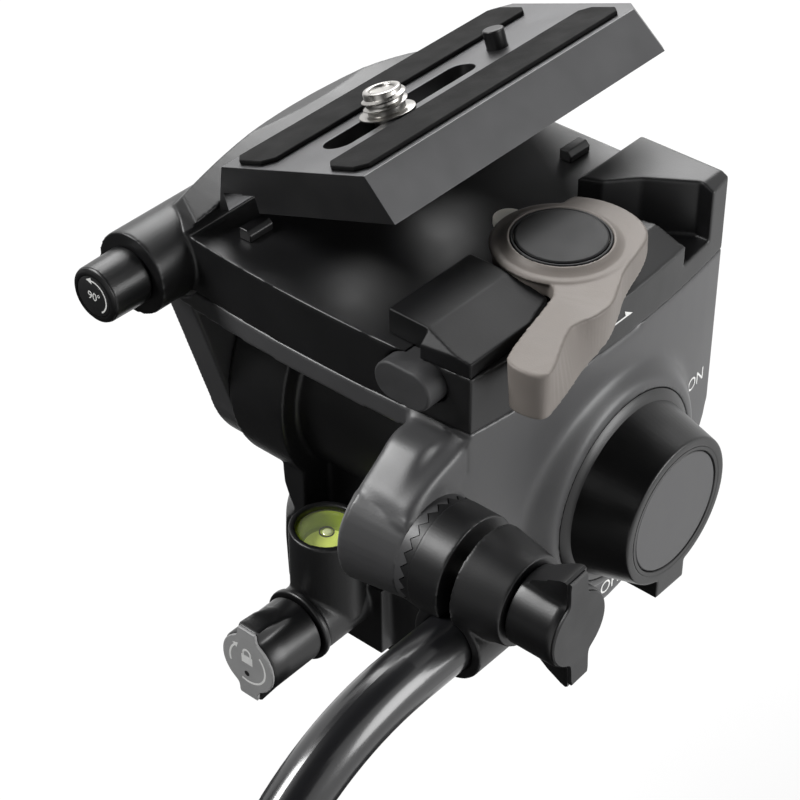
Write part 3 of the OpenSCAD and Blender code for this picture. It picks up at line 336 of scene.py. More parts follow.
def rounded_copy(node, width, look=None):
    """A copy of a machined or moulded node with its sharp edges rounded."""
    mesh = merged_copy(node)
    bmesh.ops.dissolve_limit(mesh, angle_limit=math.radians(0.5), use_dissolve_boundaries=False,
                             verts=mesh.verts, edges=mesh.edges)
    sharp = [e for e in mesh.edges if len(e.link_faces) == 2 and e.calc_face_angle(0) > math.radians(28)]
    bmesh.ops.bevel(mesh, geom=sharp, offset=width, offset_type="OFFSET", affect="EDGES", segments=3,
                    profile=0.5, material=-1, clamp_overlap=True)
    piece = set_down(mesh, node + "_rounded", BODY_OF[node], SLOT_OF[node], look, stands_for=[node])
    weighted = piece.modifiers.new("even_shading", "WEIGHTED_NORMAL")
    weighted.keep_sharp = True
    return piece


def cast(mesh, name, body, slot, stands_for, step, softness, limit, swell=None, look=None):
    """Fillet every edge and corner of a closed mesh, as a mould leaves them.

    Swell picks points in millimetres to soften further, and limit is the most triangles to keep.
    """
    data = bpy.data.meshes.new(name)
    mesh.to_mesh(data)
    mesh.free()
    core = bpy.data.objects.new(name + "_core", data)
    bpy.context.scene.collection.objects.link(core)
    remesh = core.modifiers.new("skin", "REMESH")
    remesh.mode = "VOXEL"
    remesh.voxel_size = step
    relax = core.modifiers.new("fillet", "SMOOTH")
    relax.factor = 0.5
    relax.iterations = softness
    graph = bpy.context.evaluated_depsgraph_get()
    skin = bmesh.new()
    skin.from_mesh(core.evaluated_get(graph).data)
    if swell:
        soft = [v for v in skin.verts if swell(v.co / MM)]
        for turn in range(SWELL_TURNS):
            bmesh.ops.smooth_vert(skin, verts=soft, factor=0.5, use_axis_x=True, use_axis_y=True,
                                  use_axis_z=True)
    skin.to_mesh(data)
    core.modifiers.clear()
    count = sum(len(f.verts) - 2 for f in skin.faces)
    skin.free()
    if count > limit:
        thin = core.modifiers.new("thin", "DECIMATE")
        thin.ratio = limit / count
    graph = bpy.context.evaluated_depsgraph_get()
    thinned = bmesh.new()
    thinned.from_mesh(core.evaluated_get(graph).data)
    bpy.data.objects.remove(core)
    return set_down(thinned, name, body, slot, look, stands_for=stands_for, crease=60)


def cast_copy(node, step, softness, limit, look=None):
    """A cast copy of one CAD node."""
    return cast(merged_copy(node), node + "_cast", BODY_OF[node], SLOT_OF[node], [node], step, softness,
                limit, look=look)


def millimetres(points):
    return [(r * MM, z * MM) for r, z in points]


def lathe(profile, matrix, steps):
    """Turn a profile of (radius, height) points in millimetres about the local Z axis."""
    mesh = bmesh.new()
    line = [mesh.verts.new((r, 0, z)) for r, z in millimetres(profile)]
    edges = [mesh.edges.new(pair) for pair in zip(line, line[1:])]
    bmesh.ops.spin(mesh, geom=line + edges, cent=(0, 0, 0), axis=(0, 0, 1), dvec=(0, 0, 0),
                   angle=2 * math.pi, steps=steps, use_merge=True, use_duplicate=False)
    bmesh.ops.remove_doubles(mesh, verts=mesh.verts, dist=1e-7)
    bmesh.ops.recalc_face_normals(mesh, faces=mesh.faces)
    bmesh.ops.transform(mesh, matrix=matrix, verts=mesh.verts)
    return mesh


def swept_band(profile, turn, rise, steps):
    """Carry a closed profile of (radius, height) points in metres round the local Z axis, and cap its ends.

    Turn is in radians, and rise is how far the band climbs on its way, in metres.
    """
    mesh = bmesh.new()
    loop = [mesh.verts.new((r, 0, z)) for r, z in profile]
    edges = [mesh.edges.new(pair) for pair in zip(loop, loop[1:] + loop[:1])]
    bmesh.ops.spin(mesh, geom=loop + edges, cent=(0, 0, 0), axis=(0, 0, 1), dvec=(0, 0, rise / steps),
                   angle=turn, steps=steps, use_merge=False, use_duplicate=False)
    bmesh.ops.holes_fill(mesh, edges=mesh.edges, sides=len(profile))
    bmesh.ops.recalc_face_normals(mesh, faces=mesh.faces)
    return mesh


def slab(points, thickness):
    """A closed slab from an outline in millimetres in the local XY plane; thickness is in metres."""
    mesh = bmesh.new()
    mesh.faces.new([mesh.verts.new((x, y, 0)) for x, y in millimetres(points)])
    mesh.normal_update()
    bmesh.ops.solidify(mesh, geom=mesh.faces[:], thickness=thickness)
    foot = min(v.co.z for v in mesh.verts)
    bmesh.ops.translate(mesh, verts=mesh.verts, vec=(0, 0, -foot))
    bmesh.ops.recalc_face_normals(mesh, faces=mesh.faces)
    return mesh


def letters(body, size):
    """Words as a thin closed mesh, centred on the local origin."""
    curve = bpy.data.curves.new(body, "FONT")
    curve.body = body
    curve.size = size
    curve.extrude = INK / 2
    curve.align_x = "CENTER"
    curve.align_y = "CENTER"
    words = bpy.data.objects.new(body, curve)
    bpy.context.scene.collection.objects.link(words)
    graph = bpy.context.evaluated_depsgraph_get()
    mesh = bmesh.new()
    mesh.from_mesh(words.evaluated_get(graph).to_mesh())
    bpy.data.objects.remove(words)
    bmesh.ops.remove_doubles(mesh, verts=mesh.verts, dist=1e-7)
    bmesh.ops.recalc_face_normals(mesh, faces=mesh.faces)
    return mesh


def placed(mesh, matrix):
    bmesh.ops.transform(mesh, matrix=matrix, verts=mesh.verts)
    return mesh


def gather(*meshes):
    """Put several meshes into the first one."""
    for other in meshes[1:]:
        data = bpy.data.meshes.new("part")
        other.to_mesh(data)
        other.free()
        meshes[0].from_mesh(data)
        bpy.data.meshes.remove(data)
    return meshes[0]


def axes(origin, z_axis, x_axis):
    """A placing matrix from an origin in millimetres, a Z direction and a rough X direction."""
    z = Vector(z_axis).normalized()
    x = Vector(x_axis)
    x = (x - z * x.dot(z)).normalized()
    y = z.cross(x)
    turn = Matrix((x, y, z)).transposed().to_4x4()
    return Matrix.Translation(Vector(origin) * MM) @ turn


def eased(points, rounds):
    """Cut the corners of a closed outline."""
    points = list(points)
    for turn in range(rounds):
        cut = []
        for one, two in zip(points, points[1:] + points[:1]):
            cut += [tuple(p * share + q * (1 - share) for p, q in zip(one, two)) for share in (0.75, 0.25)]
        points = cut
    return points


def joined_rings(mesh, rings):
    """Faces between each closed ring of points and the next."""
    for lower, upper in zip(rings, rings[1:]):
        for i in range(len(lower)):
            mesh.faces.new((lower[i - 1], lower[i], upper[i], upper[i - 1]))


def winged(radius, reach, half, rings, matrix, steps=180):
    """A thumb knob: a round body with a bar across it along the local X axis, in millimetres.

    Each ring gives a height, how far its outline is drawn in, and how much of the bar stands out there.
    """
    mesh = bmesh.new()
    loops = []
    for height, inset, share in rings:
        loop = []
        for i in range(steps):
            a = 2 * math.pi * i / steps
            tip = radius + (reach - radius) * share
            bar = min(tip / max(abs(math.cos(a)), 1e-6), half / max(abs(math.sin(a)), 1e-6))
            # A sum of high powers runs the bar into the round body with a small fillet
            r = (radius ** 8 + bar ** 8) ** (1 / 8) if share > 0 else radius
            r = min(r, tip + 0.4) - inset
            loop.append(mesh.verts.new((r * MM * math.cos(a), r * MM * math.sin(a), height * MM)))
        loops.append(loop)
    joined_rings(mesh, loops)
    mesh.faces.new(loops[0])
    mesh.faces.new(loops[-1])
    bmesh.ops.recalc_face_normals(mesh, faces=mesh.faces)
    return placed(mesh, matrix)


def toothed_ring(outer, inner, base, edge, height, teeth, matrix):
    """A ring with a zigzag edge, in millimetres; base and edge are heights along the local Z axis."""
    mesh = bmesh.new()
    loops = [[], [], [], []]
    for i in range(teeth * 2):
        a = math.pi * i / teeth
        top = edge + (height / 2 if i % 2 else -height / 2)
        for loop, r, z in zip(loops, (inner, outer, outer, inner), (base, base, top, top)):
            loop.append(mesh.verts.new((r * MM * math.cos(a), r * MM * math.sin(a), z * MM)))
    joined_rings(mesh, loops + loops[:1])
    bmesh.ops.recalc_face_normals(mesh, faces=mesh.faces)
    return placed(mesh, matrix)


def handle_web():
    """The web that carries the handle joint up to the underside of the deck, steeper on its left."""
    steep = [(-63, 82), (-60.5, 85.4), (-58, 87.2), (-55, 89.4), (-52.4, 91.6), (-50.2, 92.5)]
    gentle = [(-63, 82), (-60.5, 85.2), (-58, 86.8), (-55, 88.3), (-52, 89.4), (-49, 90.3), (-46.5, 91.2),
              (-44.8, 92.2), (-44, 92.5)]
    root = [(-43, 92.5), (-43, 78), (-55, 72)]
    along_x = Matrix(((0, 0, 1, WEB_LEFT * MM), (1, 0, 0, 0), (0, 1, 0, 0), (0, 0, 0, 1)))
    return placed(gather(slab(steep + root, 9.4 * MM), slab(gentle + root, 13.8 * MM)), along_x)


def in_swell(point):
    """Whether a point of the cradle lies in the swell round the counterbalance knob or on the web."""
    r = math.hypot(point.y - TILT_AXIS[0], point.z - TILT_AXIS[1])
    round_knob = point.x > 44.5 and 22.9 < r < 37
    on_web = point.x > 31 and -62 < point.y < -44.5 and point.z > 83.5
    return round_knob or on_web


class HEAD_OT_castings(bpy.types.Operator):
    """Fillet the cradle, deck, pan housing and the clamp blocks"""
    bl_idname = "head.castings"
    bl_label = "Castings"

    def execute(self, context):
        s = sizes()
        soft = s.casting_softness
        cast(gather(merged_copy("cradle"), handle_web()), "cradle_cast", "cradle", "charcoal_casting",
             ["cradle"], s.casting_step, soft, CRADLE_LIMIT, in_swell)
        cast_copy("pan_housing", s.casting_step, soft, HOUSING_LIMIT)
        # The horn is one casting with the deck
        cast(gather(merged_copy("deck"), merged_copy("rear_horn")), "deck_cast", "deck", "black_casting",
             ["deck", "rear_horn"], s.deck_step, soft, DECK_LIMIT)
        cast_copy("front_block", s.small_step, soft, SMALL_LIMIT, "matt_casting")
        for node in ("clamp_inner", "clamp_outer"):
            cast_copy(node, s.small_step, soft, SMALL_LIMIT)
        rounded_copy("plate_stops", s.moulded_edge)
        rounded_copy("base_plate", 0.8 * MM)
        return {"FINISHED"}


class HEAD_OT_knobs(bpy.types.Operator):
    """Round the lock knobs, the wing knob, the counterbalance knob and their faces"""
    bl_idname = "head.knobs"
    bl_label = "Knobs"

    def execute(self, context):
        s = sizes()
        for node in ("tilt_lock_knob", "balance_knob"):
            cast_copy(node, s.small_step, 4, SMALL_LIMIT)
        rounded_copy("tilt_lock_cap", 0.2 * MM)
        for node in ("flip_knob", "pan_lock_collar"):
            rounded_copy(node, 0.6 * MM)
        rounded_copy("release_button", 0.6 * MM, "button_face")
        self.pan_lock()
        self.wing()
        self.counterbalance()
        self.flip_release()
        return {"FINISHED"}

    def pan_lock(self):
        """The pan lock knob with its upright wing, and its grey face."""
        low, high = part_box("pan_lock_knob")
        back, front = -high.y / MM, -low.y / MM
        place = axes((0, 0, (low.z + high.z) / 2 / MM), (0, -1, 0), (0, 0, 1))
        rings = ((back, 0.5, 0), (back + 0.5, 0, 0), (back + 4, 0, 0), (back + 6, 0, 0.35),
                 (back + 10, 0, 0.85), (front - 0.5, 0, 1), (front, 0.3, 1))
        set_down(winged(7.8, 9.9, 2.9, rings, place), "pan_lock_winged", "pan_lock", "black_plastic",
                 stands_for=["pan_lock_knob"], crease=35)
        rings = ((front - 0.3, 0.2, 1), (front + 0.5, 0, 1), (front + 0.7, 0.2, 1))
        set_down(winged(7.5, 9.6, 2.6, rings, place), "pan_lock_face", "pan_lock", "grey_face",
                 stands_for=["pan_lock_cap"], crease=35)

    def wing(self):
        """The wing knob of the handle joint, whose wings rise towards its face."""
        low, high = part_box("wing_knob")
        back, front = low.x / MM, high.x / MM
        place = axes((0, *HANDLE_AXIS), (1, 0, 0), WING_WAY)
        rings = ((back, 0.4, 0), (back + 0.4, 0, 0), (back + 2, 0, 0.12), (back + 6, 0, 0.6),
                 (front - 1.6, 0, 0.95), (front - 0.5, 0, 1), (front, 0.35, 1))
        set_down(winged(8.4, 14, 3.0, rings, place), "wing_knob_winged", "wing", "black_plastic",
                 stands_for=["wing_knob"], crease=35)
        rings = ((front - 0.3, 0.2, 1), (front + 0.45, 0, 1), (front + 0.7, 0.25, 1))
        set_down(winged(8.0, 13.5, 2.6, rings, place), "wing_face", "wing", "dark_face",
                 stands_for=["wing_cap"], crease=35)

    def counterbalance(self):
        """A face disc in a rim, and a skirt that closes the groove at the knob's foot."""
        middle = axes((0, *TILT_AXIS), (1, 0, 0), (0, 1, 0))
        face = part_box("balance_disc")[1].x / MM
        disc = lathe([(0, face - 1), (13.75, face - 1), (13.75, face - 0.15), (13.6, face), (0, face)],
                     middle, LARGE_ROUND)
        set_down(disc, "balance_face", "balance", "dark_face", "disc_face", stands_for=["balance_disc"])
        rim = lathe([(13.95, face - 1), (13.95, face - 0.1), (14.15, face + 0.15), (14.9, face + 0.2),
                     (15.2, face - 0.4), (15.2, face - 1), (13.95, face - 1)], middle, LARGE_ROUND)
        set_down(rim, "balance_rim", "balance", "black_plastic")
        skirt = lathe([(19.4, 52.4), (22.35, 52.4), (22.35, 52.9), (21.9, 53.3), (20.5, 53.9), (19.4, 54.2),
                       (19.4, 52.4)], middle, 120)
        set_down(skirt, "balance_skirt", "balance", "black_plastic")

    def flip_release(self):
        """The rim and the sunk face at the end of the portrait release."""
        low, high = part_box("flip_cap")
        place = axes(((low.x + high.x) / 2 / MM, 0, (low.z + high.z) / 2 / MM), (0, -1, 0), (1, 0, 0))
        face = -low.y / MM
        rim = lathe([(4.75, face - 0.6), (4.75, face - 0.05), (5.0, face), (5.5, face - 0.05),
                     (6.1, face - 0.5), (6.1, face - 0.8), (4.75, face - 0.8), (4.75, face - 0.6)], place,
                    SMALL_ROUND)
        set_down(rim, "flip_rim", "flip_release", "black_plastic")
        cap = lathe([(0, face - 0.5), (4.6, face - 0.5), (4.6, face - 0.1), (4.5, face - 0.05),
                     (0, face - 0.05)], place, SMALL_ROUND)
        set_down(cap, "flip_face", "flip_release", "dark_face", stands_for=["flip_cap"])


class HEAD_OT_lever(bpy.types.Operator):
    """Smooth the clamp lever and dress its disc and shoe"""
    bl_idname = "head.lever"
    bl_label = "Clamp lever"

    def execute(self, context):
        s = sizes()
        low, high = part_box("lever_disc")
        centre = (low + high) / 2 / MM
        # The hub's rim stands a little lower than the disc's own solid
        top = high.z / MM - 0.4
        upright = axes((centre.x, centre.y, 0), (0, 0, 1), (1, 0, 0))
        hub = lathe([(0, 110), (13.9, 110), (13.9, 113.05), (14.6, 113.25), (14.6, 113.5), (14.1, 113.9),
                     (12.6, 114.0), (11.6, 114.5), (11.0, top), (10.5, top), (10.3, top - 0.9),
                     (0, top - 0.9)], upright, LARGE_ROUND)
        cast(gather(hub, self.arm()), "clamp_lever_cast", "lever", "taupe_metal", ["clamp_lever"],
             s.small_step, 4, LEVER_LIMIT)
        collar = lathe([(9.75, top - 1.2), (9.75, top - 0.1), (9.9, top + 0.05), (10.15, top + 0.05),
                        (10.3, top - 0.1), (10.3, top - 1.2), (9.75, top - 1.2)], upright, LARGE_ROUND)
        set_down(collar, "lever_collar", "lever", "black_plastic", "disc_black")
        disc = lathe([(0, top - 1.5), (9.55, top - 1.5), (9.55, top + 0.1), (9.3, top + 0.27),
                      (9.05, top + 0.3), (0, top + 0.3)], upright, LARGE_ROUND)
        set_down(disc, "lever_disc_domed", "lever", "black_plastic", "disc_black", stands_for=["lever_disc"])
        rounded_copy("trigger_shoe", s.moulded_edge)
        return {"FINISHED"}

    def arm(self):
        """The arm between its upper outline and its foot, from the plan with its corners eased."""
        mesh = bmesh.new()
        plan = eased(LEVER_PLAN, 2)
        upper = [mesh.verts.new((x * MM, y * MM, top * MM)) for x, y, top, foot_x, foot in plan]
        lower = [mesh.verts.new((foot_x * MM, y * MM, foot * MM)) for x, y, top, foot_x, foot in plan]
        caps = [mesh.faces.new(upper), mesh.faces.new(lower)]
        joined_rings(mesh, [lower, upper])
        bmesh.ops.triangulate(mesh, faces=caps)
        bmesh.ops.recalc_face_normals(mesh, faces=mesh.faces)
        return mesh


class HEAD_OT_plate(bpy.types.Operator):
    """Dress the camera plate, its pads, screw and video pin"""
    bl_idname = "head.plate"
    bl_label = "Camera plate"

    def execute(self, context):
        s = sizes()
        rounded_copy("slide_plate", s.machined_edge)
        rounded_copy("plate_pads", s.moulded_edge)
        rounded_copy("video_pin", 0.35 * MM)
        # The screw stands along its own joint's axis, whose point lies 5 mm above the plate's foot
        joint = JOINTS["screw_turn"]
        way = Vector(joint["axis"])
        place = axes((Vector(joint["pos_m"]) - way * 5 * MM) / MM, way, (0, 1, 0))
        head = [(0, 0.8), (8.0, 0.8), (8.3, 1.1), (8.3, 3.9), (8.1, 4.1), (3.2, 4.1), (3.2, 10.05)]
        flange = [(5.7, 10.05), (5.95, 10.15), (5.95, 10.4), (5.7, 10.5), (4.3, 10.5)]
        shank = [(4.05, 10.6), (4.05, 15.0), (3.9, 15.3), (3.6, 15.4), (3.0, 15.4), (2.7, 15.2), (2.6, 14.9),
                 (0, 14.85)]
        body = lathe(head + flange + shank, place, SMALL_ROUND)
        ridge = millimetres([(3.95, 10.45), (4.74, 10.98), (4.74, 11.12), (3.95, 11.65)])
        thread = swept_band(ridge, 2 * math.pi * SCREW_TURNS, SCREW_TURNS * s.screw_pitch, 168)
        set_down(gather(body, placed(thread, place)), "camera_screw_threaded", "screw", "steel",
                 stands_for=["camera_screw"])
        return {"FINISHED"}


class HEAD_OT_handle(bpy.types.Operator):
    """Rib the rubber grip and close its end"""
    bl_idname = "head.handle"
    bl_label = "Handle"

    def execute(self, context):
        rounded_copy("grip_plug", 0.6 * MM)
        pitch = sizes().rib_pitch / MM
        # Outline of the grip along the tube: a tapered neck, ribs, and a straight end
        bore, rib, groove = 6.05, 11, 10.3
        outline = [(bore, 103), (7.6, 103), (8.2, 103.5), (10.6, 110.2), (rib, 111.5)]
        along = 113.0
        while along + pitch < 213:
            outline += [(rib, along), (10.75, along + 0.35), (groove, along + 0.55), (groove, along + 1.15),
                        (10.75, along + 1.35), (rib, along + 1.7)]
            along += pitch
        outline += [(rib, 214.4), (10.6, 215), (bore, 215), (bore, 103)]
        grip = lathe(outline, axes(GRIP_START, GRIP_WAY, (1, 0, 0)), SMALL_ROUND)
        set_down(grip, "handle_grip_ribbed", "handle", "grip_rubber", stands_for=["handle_grip"], crease=50)
        # The two halves of the toothed joint meet along a zigzag with a hair's gap
        place = axes((0, *HANDLE_AXIS), (1, 0, 0), (0, 0, -1))
        set_down(toothed_ring(11.45, 5.0, 46.0, 47.85, 1.4, 24, place), "rosette_toothed", "cradle",
                 "charcoal_casting", stands_for=["rosette_ring"], crease=20)
        set_down(toothed_ring(11.6, 5.0, 49.6, 48.15, 1.4, 24, place), "clamp_toothed", "handle",
                 "black_casting", crease=20)
        return {"FINISHED"}


class HEAD_OT_level(bpy.types.Operator):
    """Fill the spirit level: liquid, bubble, ring mark and domed window"""
    bl_idname = "head.level"
    bl_label = "Spirit level"

    def execute(self, context):
        low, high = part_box("level_vial")
        middle = ((low.x + high.x) / 2 / MM, (low.y + high.y) / 2 / MM)
        bottom, top = low.z / MM, high.z / MM
        wide = (high.x - low.x) / 2 / MM - 0.02
        upright = axes((*middle, 0), (0, 0, 1), (1, 0, 0))
        # A clear pot of liquid: its far wall and its floor are what the eye sees through the window
        liquid = lathe([(0, bottom), (wide, bottom), (wide, top), (wide - 0.5, top), (wide - 0.9, top - 0.5),
                        (wide - 1.0, top - 3.6), (wide - 1.6, top - 4.2), (0, top - 4.2)], upright,
                       LEVEL_ROUND)
        set_down(liquid, "level_liquid_filled", "pan", "level_liquid", stands_for=["level_vial"])
        # The floor disc is painted light: a paler copy of the liquid that glows
        glow = lathe([(0, top - 4.3), (wide - 1.65, top - 4.3), (wide - 1.65, top - 4.1), (0, top - 4.1)],
                     upright, LEVEL_ROUND)
        set_down(glow, "painted_glow_level_floor", "pan", "level_liquid", "painted_glow_level_floor")
        mark = lathe([(1.45, top - 0.3), (1.75, top - 0.3), (1.75, top - 0.12), (1.45, top - 0.12),
                      (1.45, top - 0.3)], upright, 48)
        set_down(mark, "level_ring_mark", "pan", "level_liquid", "black_ink")
        # The bubble rests a little off the middle
        aside = axes((middle[0] + 0.15, middle[1] + 0.1, 0), (0, 0, 1), (1, 0, 0))
        bubble = lathe([(0, top - 0.6), (0.9, top - 0.5), (1.15, top - 0.25), (0.95, top - 0.08), (0.5, top),
                        (0, top)], aside, 40)
        set_down(bubble, "level_bubble", "pan", "level_glass", "bubble")
        low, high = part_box("level_glass")
        under, over = low.z / MM + 0.06, high.z / MM
        window = lathe([(0, under), (wide, under), (wide, over - 0.5), (wide - 0.5, over - 0.25),
                        (4, over + 0.1), (0, over + 0.25)], upright, LEVEL_ROUND)
        set_down(window, "level_window", "pan", "level_glass", stands_for=["level_glass"])
        return {"FINISHED"}


def arc(radius, width, start, sweep):
    """A printed arc; radius and width in millimetres, start and sweep in degrees."""
    near, far = (radius - width / 2) * MM, (radius + width / 2) * MM
    band = swept_band([(near, 0), (far, 0), (far, INK), (near, INK)], math.radians(sweep), 0, 24)
    return placed(band, Matrix.Rotation(math.radians(start), 4, "Z"))


def arrow_head(radius, angle, way):
    """A printed arrow head on an arc; way is 1 for anticlockwise."""
    tip = slab([(-0.75, 0), (0.75, 0), (0, way * 1.5)], INK)
    turn = Matrix.Rotation(math.radians(angle), 4, "Z")
    return placed(tip, turn @ Matrix.Translation((radius * MM, 0, 0)))


def on_side(mesh, y, z):
    """Lay a print on the bulged right side."""
    lean = math.asin((y - SIDE_AXIS[1]) / SIDE_RADIUS)
    x = SIDE_AXIS[0] + SIDE_RADIUS * math.cos(lean)
    return placed(mesh, axes((x + 0.02, y, z), (math.cos(lean), math.sin(lean), 0), (0, 1, 0)))


class HEAD_OT_prints(bpy.types.Operator):
    """Print the padlock, the turn arrows, 90 degrees, ON and OFF"""
    bl_idname = "head.prints"
    bl_label = "Prints"

    def execute(self, context):
        self.padlock()
        self.quarter_turn()
        size = sizes().letter_size
        arrow = slab([(-4.2, -0.2), (4.3, -0.2), (1.5, 1.5), (1.9, 0.2), (-4.2, 0.2)], INK)
        set_down(on_side(arrow, -0.9, 99.2), "deck_arrow_print", "deck", "black_casting", "ink")
        set_down(on_side(letters("ON", size), 33.2, 63.3), "on_print", "cradle", "charcoal_casting", "ink")
        set_down(on_side(letters("OFF", size), 2.7, 26.3), "off_print", "cradle", "charcoal_casting", "ink")
        return {"FINISHED"}

    def padlock(self):
        """A padlock between two arcs on the pan lock, over a dot."""
        low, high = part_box("pan_lock_cap")
        face = axes((0, low.y / MM + 0.03, (low.z + high.z) / 2 / MM), (0, -1, 0), (1, 0, 0))
        body = slab([(-1.7, 0), (1.5, 0), (1.5, 2.2), (-1.7, 2.2)], INK)
        shackle = placed(arc(1.05, 0.5, 0, 180), Matrix.Translation((-0.1 * MM, 2.9 * MM, 0)))
        legs = [slab([(x, 2.1), (x + 0.5, 2.1), (x + 0.5, 2.95), (x, 2.95)], INK) for x in (0.7, -1.4)]
        turn = [arc(5.2, 0.5, -110, 155), arc(5.2, 0.5, 135, 62), arrow_head(5.2, 135, -1)]
        lock = gather(body, shackle, *legs, *turn)
        set_down(placed(lock, face), "pan_lock_print", "pan_lock", "grey_face", "ink")
        around = [a * math.pi / 14 for a in range(28)]
        dot = slab([(-0.3 + 0.7 * math.cos(a), -3.0 + 0.7 * math.sin(a)) for a in around], INK)
        set_down(placed(dot, face), "pan_lock_dot", "pan_lock", "grey_face", "black_ink")

    def quarter_turn(self):
        """90 degrees with a turn arrow on the portrait release."""
        low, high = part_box("flip_cap")
        middle = ((low.x + high.x) / 2 / MM, low.y / MM + 0.08, (low.z + high.z) / 2 / MM)
        face = axes(middle, (0, -1, 0), (1, 0, 0))
        words = placed(letters("90°", 2.7 * MM), Matrix.Translation((0.2 * MM, -0.1 * MM, INK / 2)))
        quarter = gather(words, arc(3.7, 0.35, -55, 150), arrow_head(3.7, 95, 1))
        set_down(placed(quarter, face), "flip_print", "flip_release", "dark_face", "ink")


class HEAD_OT_plain_nodes(bpy.types.Operator):
    """Give the nodes that keep their CAD shape the finish of their slot"""
    bl_idname = "head.plain_nodes"
    bl_label = "Plain nodes"

    def execute(self, context):
        for node, obj in frame["nodes"].items():
            if not obj.hide_render:
                obj.data.materials.clear()
                obj.data.materials.append(finish(SLOT_OF[node]))
        return {"FINISHED"}


def seen_rays(tree):
    """1 for rays of the camera, of mirror images and through windows, and 0 for those that only light."""
    path = add_node(tree, "ShaderNodeLightPath").outputs
    seen = path["Is Camera Ray"]
    for ray in ("Is Glossy Ray", "Is Transmission Ray"):
        larger = add_node(tree, "ShaderNodeMath", None, {0: seen, 1: path[ray]}, operation="MAXIMUM")
        seen = larger.outputs[0]
    return seen


def stage_sheet(name, half_width, matrix, material):
    """A flat square sheet of the stage."""
    mesh = bmesh.new()
    bmesh.ops.create_grid(mesh, x_segments=1, y_segments=1, size=half_width)
    placed(mesh, matrix)
    data = bpy.data.meshes.new(name)
    mesh.to_mesh(data)
    mesh.free()
    data.materials.append(material)
    sheet = bpy.data.objects.new(name, data)
    bpy.context.scene.collection.objects.link(sheet)
    return sheet


def studio_paper():
    """White paper that shows as plain white and still takes a faint shadow."""
    paint = bpy.data.materials.new("white_studio_paper")
    paint.use_nodes = True
    tree = paint.node_tree
    tree.nodes.clear()
    share = add_node(tree, "ShaderNodeMath", {1: PAPER_GLOW}, {0: seen_rays(tree)}, operation="MULTIPLY")
    paper = add_node(tree, "ShaderNodeBsdfDiffuse", {"Color": (PAPER_WHITE, PAPER_WHITE, PAPER_WHITE, 1)})
    glow = add_node(tree, "ShaderNodeEmission", {"Color": (1, 1, 1, 1), "Strength": 1.0})
    both = add_node(tree, "ShaderNodeMixShader", None,
                    {0: share.outputs[0], 1: paper.outputs[0], 2: glow.outputs[0]})
    add_node(tree, "ShaderNodeOutputMaterial", None, {"Surface": both.outputs[0]})
    return paint


def studio_air():
    """A white world to the eye and in mirrors, which lights the head only a little."""
    world = bpy.data.worlds.new("studio_air")
    world.use_nodes = True
    tree = world.node_tree
    tree.nodes.clear()
    strength = add_node(tree, "ShaderNodeMapRange",
                        {"From Min": 0.0, "From Max": 1.0, "To Min": WORLD_LIGHT, "To Max": 1.0},
                        {"Value": seen_rays(tree)})
    air = add_node(tree, "ShaderNodeBackground", {"Color": (1, 1, 1, 1)}, {"Strength": strength.outputs[0]})
    add_node(tree, "ShaderNodeOutputWorld", None, {"Surface": air.outputs[0]})
    return world


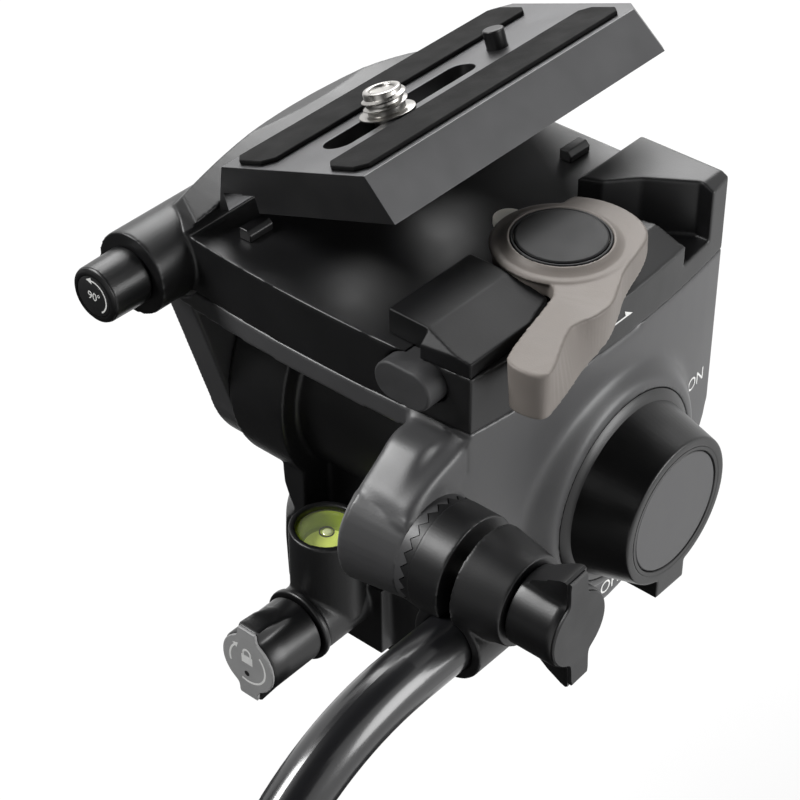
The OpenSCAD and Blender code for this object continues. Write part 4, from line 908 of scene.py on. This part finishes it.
class HEAD_OT_stage(bpy.types.Operator):
    """Set the pale floor, the soft lights and the camera"""
    bl_idname = "head.stage"
    bl_label = "Stage"

    def execute(self, context):
        scene = context.scene
        scene.view_settings.view_transform = "Standard"
        scene.world = studio_air()
        floor_level = Matrix.Translation((0, 0, CAD_BOX[0][2] - 0.002))
        stage_sheet("studio_floor", FLOOR_HALF_WIDTH, floor_level, studio_paper())

        # The cards keep the operator's side deep, as in the photograph
        paper = grained_surface("black_card_paper", linear("#0c0c0c"), 1, 0.05, 0.9, 0.05, 30)
        for name, spot, face, half_width in CARDS:
            card = stage_sheet(name, half_width, axes([c / MM for c in spot], face, (1, 0, 0)), paper)
            card.visible_camera = False
            card.visible_shadow = False

        for name, spot, aim, width, power in LAMPS:
            lamp = bpy.data.lights.new(name, "AREA")
            lamp.shape = "DISK"
            lamp.size = width
            lamp.energy = power
            light = bpy.data.objects.new(name, lamp)
            scene.collection.objects.link(light)
            light.visible_camera = False
            light.matrix_world = axes([c / MM for c in spot], Vector(spot) - Vector(aim), (0, 1, 0.01))

        lens = bpy.data.cameras.new("photo_camera")
        lens.sensor_fit = "HORIZONTAL"
        lens.sensor_width = 36.0
        lens.lens = CAMERA_LENS
        lens.clip_start = 0.01
        lens.clip_end = 20.0
        camera = bpy.data.objects.new("photo_camera", lens)
        scene.collection.objects.link(camera)
        camera.matrix_world = axes(CAMERA_PLACE, CAMERA_BACK, CAMERA_RIGHT)
        scene.camera = camera
        return {"FINISHED"}


class HEAD_PT_panel(bpy.types.Panel):
    """Lists the sizes, colours and steps of the head"""
    bl_idname = "HEAD_PT_panel"
    bl_label = "Fluid video head"
    bl_space_type = "VIEW_3D"
    bl_region_type = "UI"
    bl_category = "Video Head"

    def draw(self, context):
        for group in (context.scene.head_sizes, context.scene.head_colours):
            box = self.layout.box()
            for key in group.__annotations__:
                box.prop(group, key)
        for step in STEPS:
            self.layout.operator(step.bl_idname)


STEPS = (HEAD_OT_castings, HEAD_OT_knobs, HEAD_OT_lever, HEAD_OT_plate, HEAD_OT_handle, HEAD_OT_level,
         HEAD_OT_prints, HEAD_OT_plain_nodes, HEAD_OT_stage)
CLASSES = (HeadSizes, HeadColours) + STEPS + (HEAD_PT_panel,)


def register():
    for item in CLASSES:
        bpy.utils.register_class(item)
    bpy.types.Scene.head_sizes = PointerProperty(type=HeadSizes)
    bpy.types.Scene.head_colours = PointerProperty(type=HeadColours)


def unregister():
    del bpy.types.Scene.head_colours
    del bpy.types.Scene.head_sizes
    for item in reversed(CLASSES):
        bpy.utils.unregister_class(item)


def main():
    register()
    bpy.ops.head.castings()
    bpy.ops.head.knobs()
    bpy.ops.head.lever()
    bpy.ops.head.plate()
    bpy.ops.head.handle()
    bpy.ops.head.level()
    bpy.ops.head.prints()
    bpy.ops.head.plain_nodes()
    bpy.ops.head.stage()


if __name__ == "__main__":
    main()
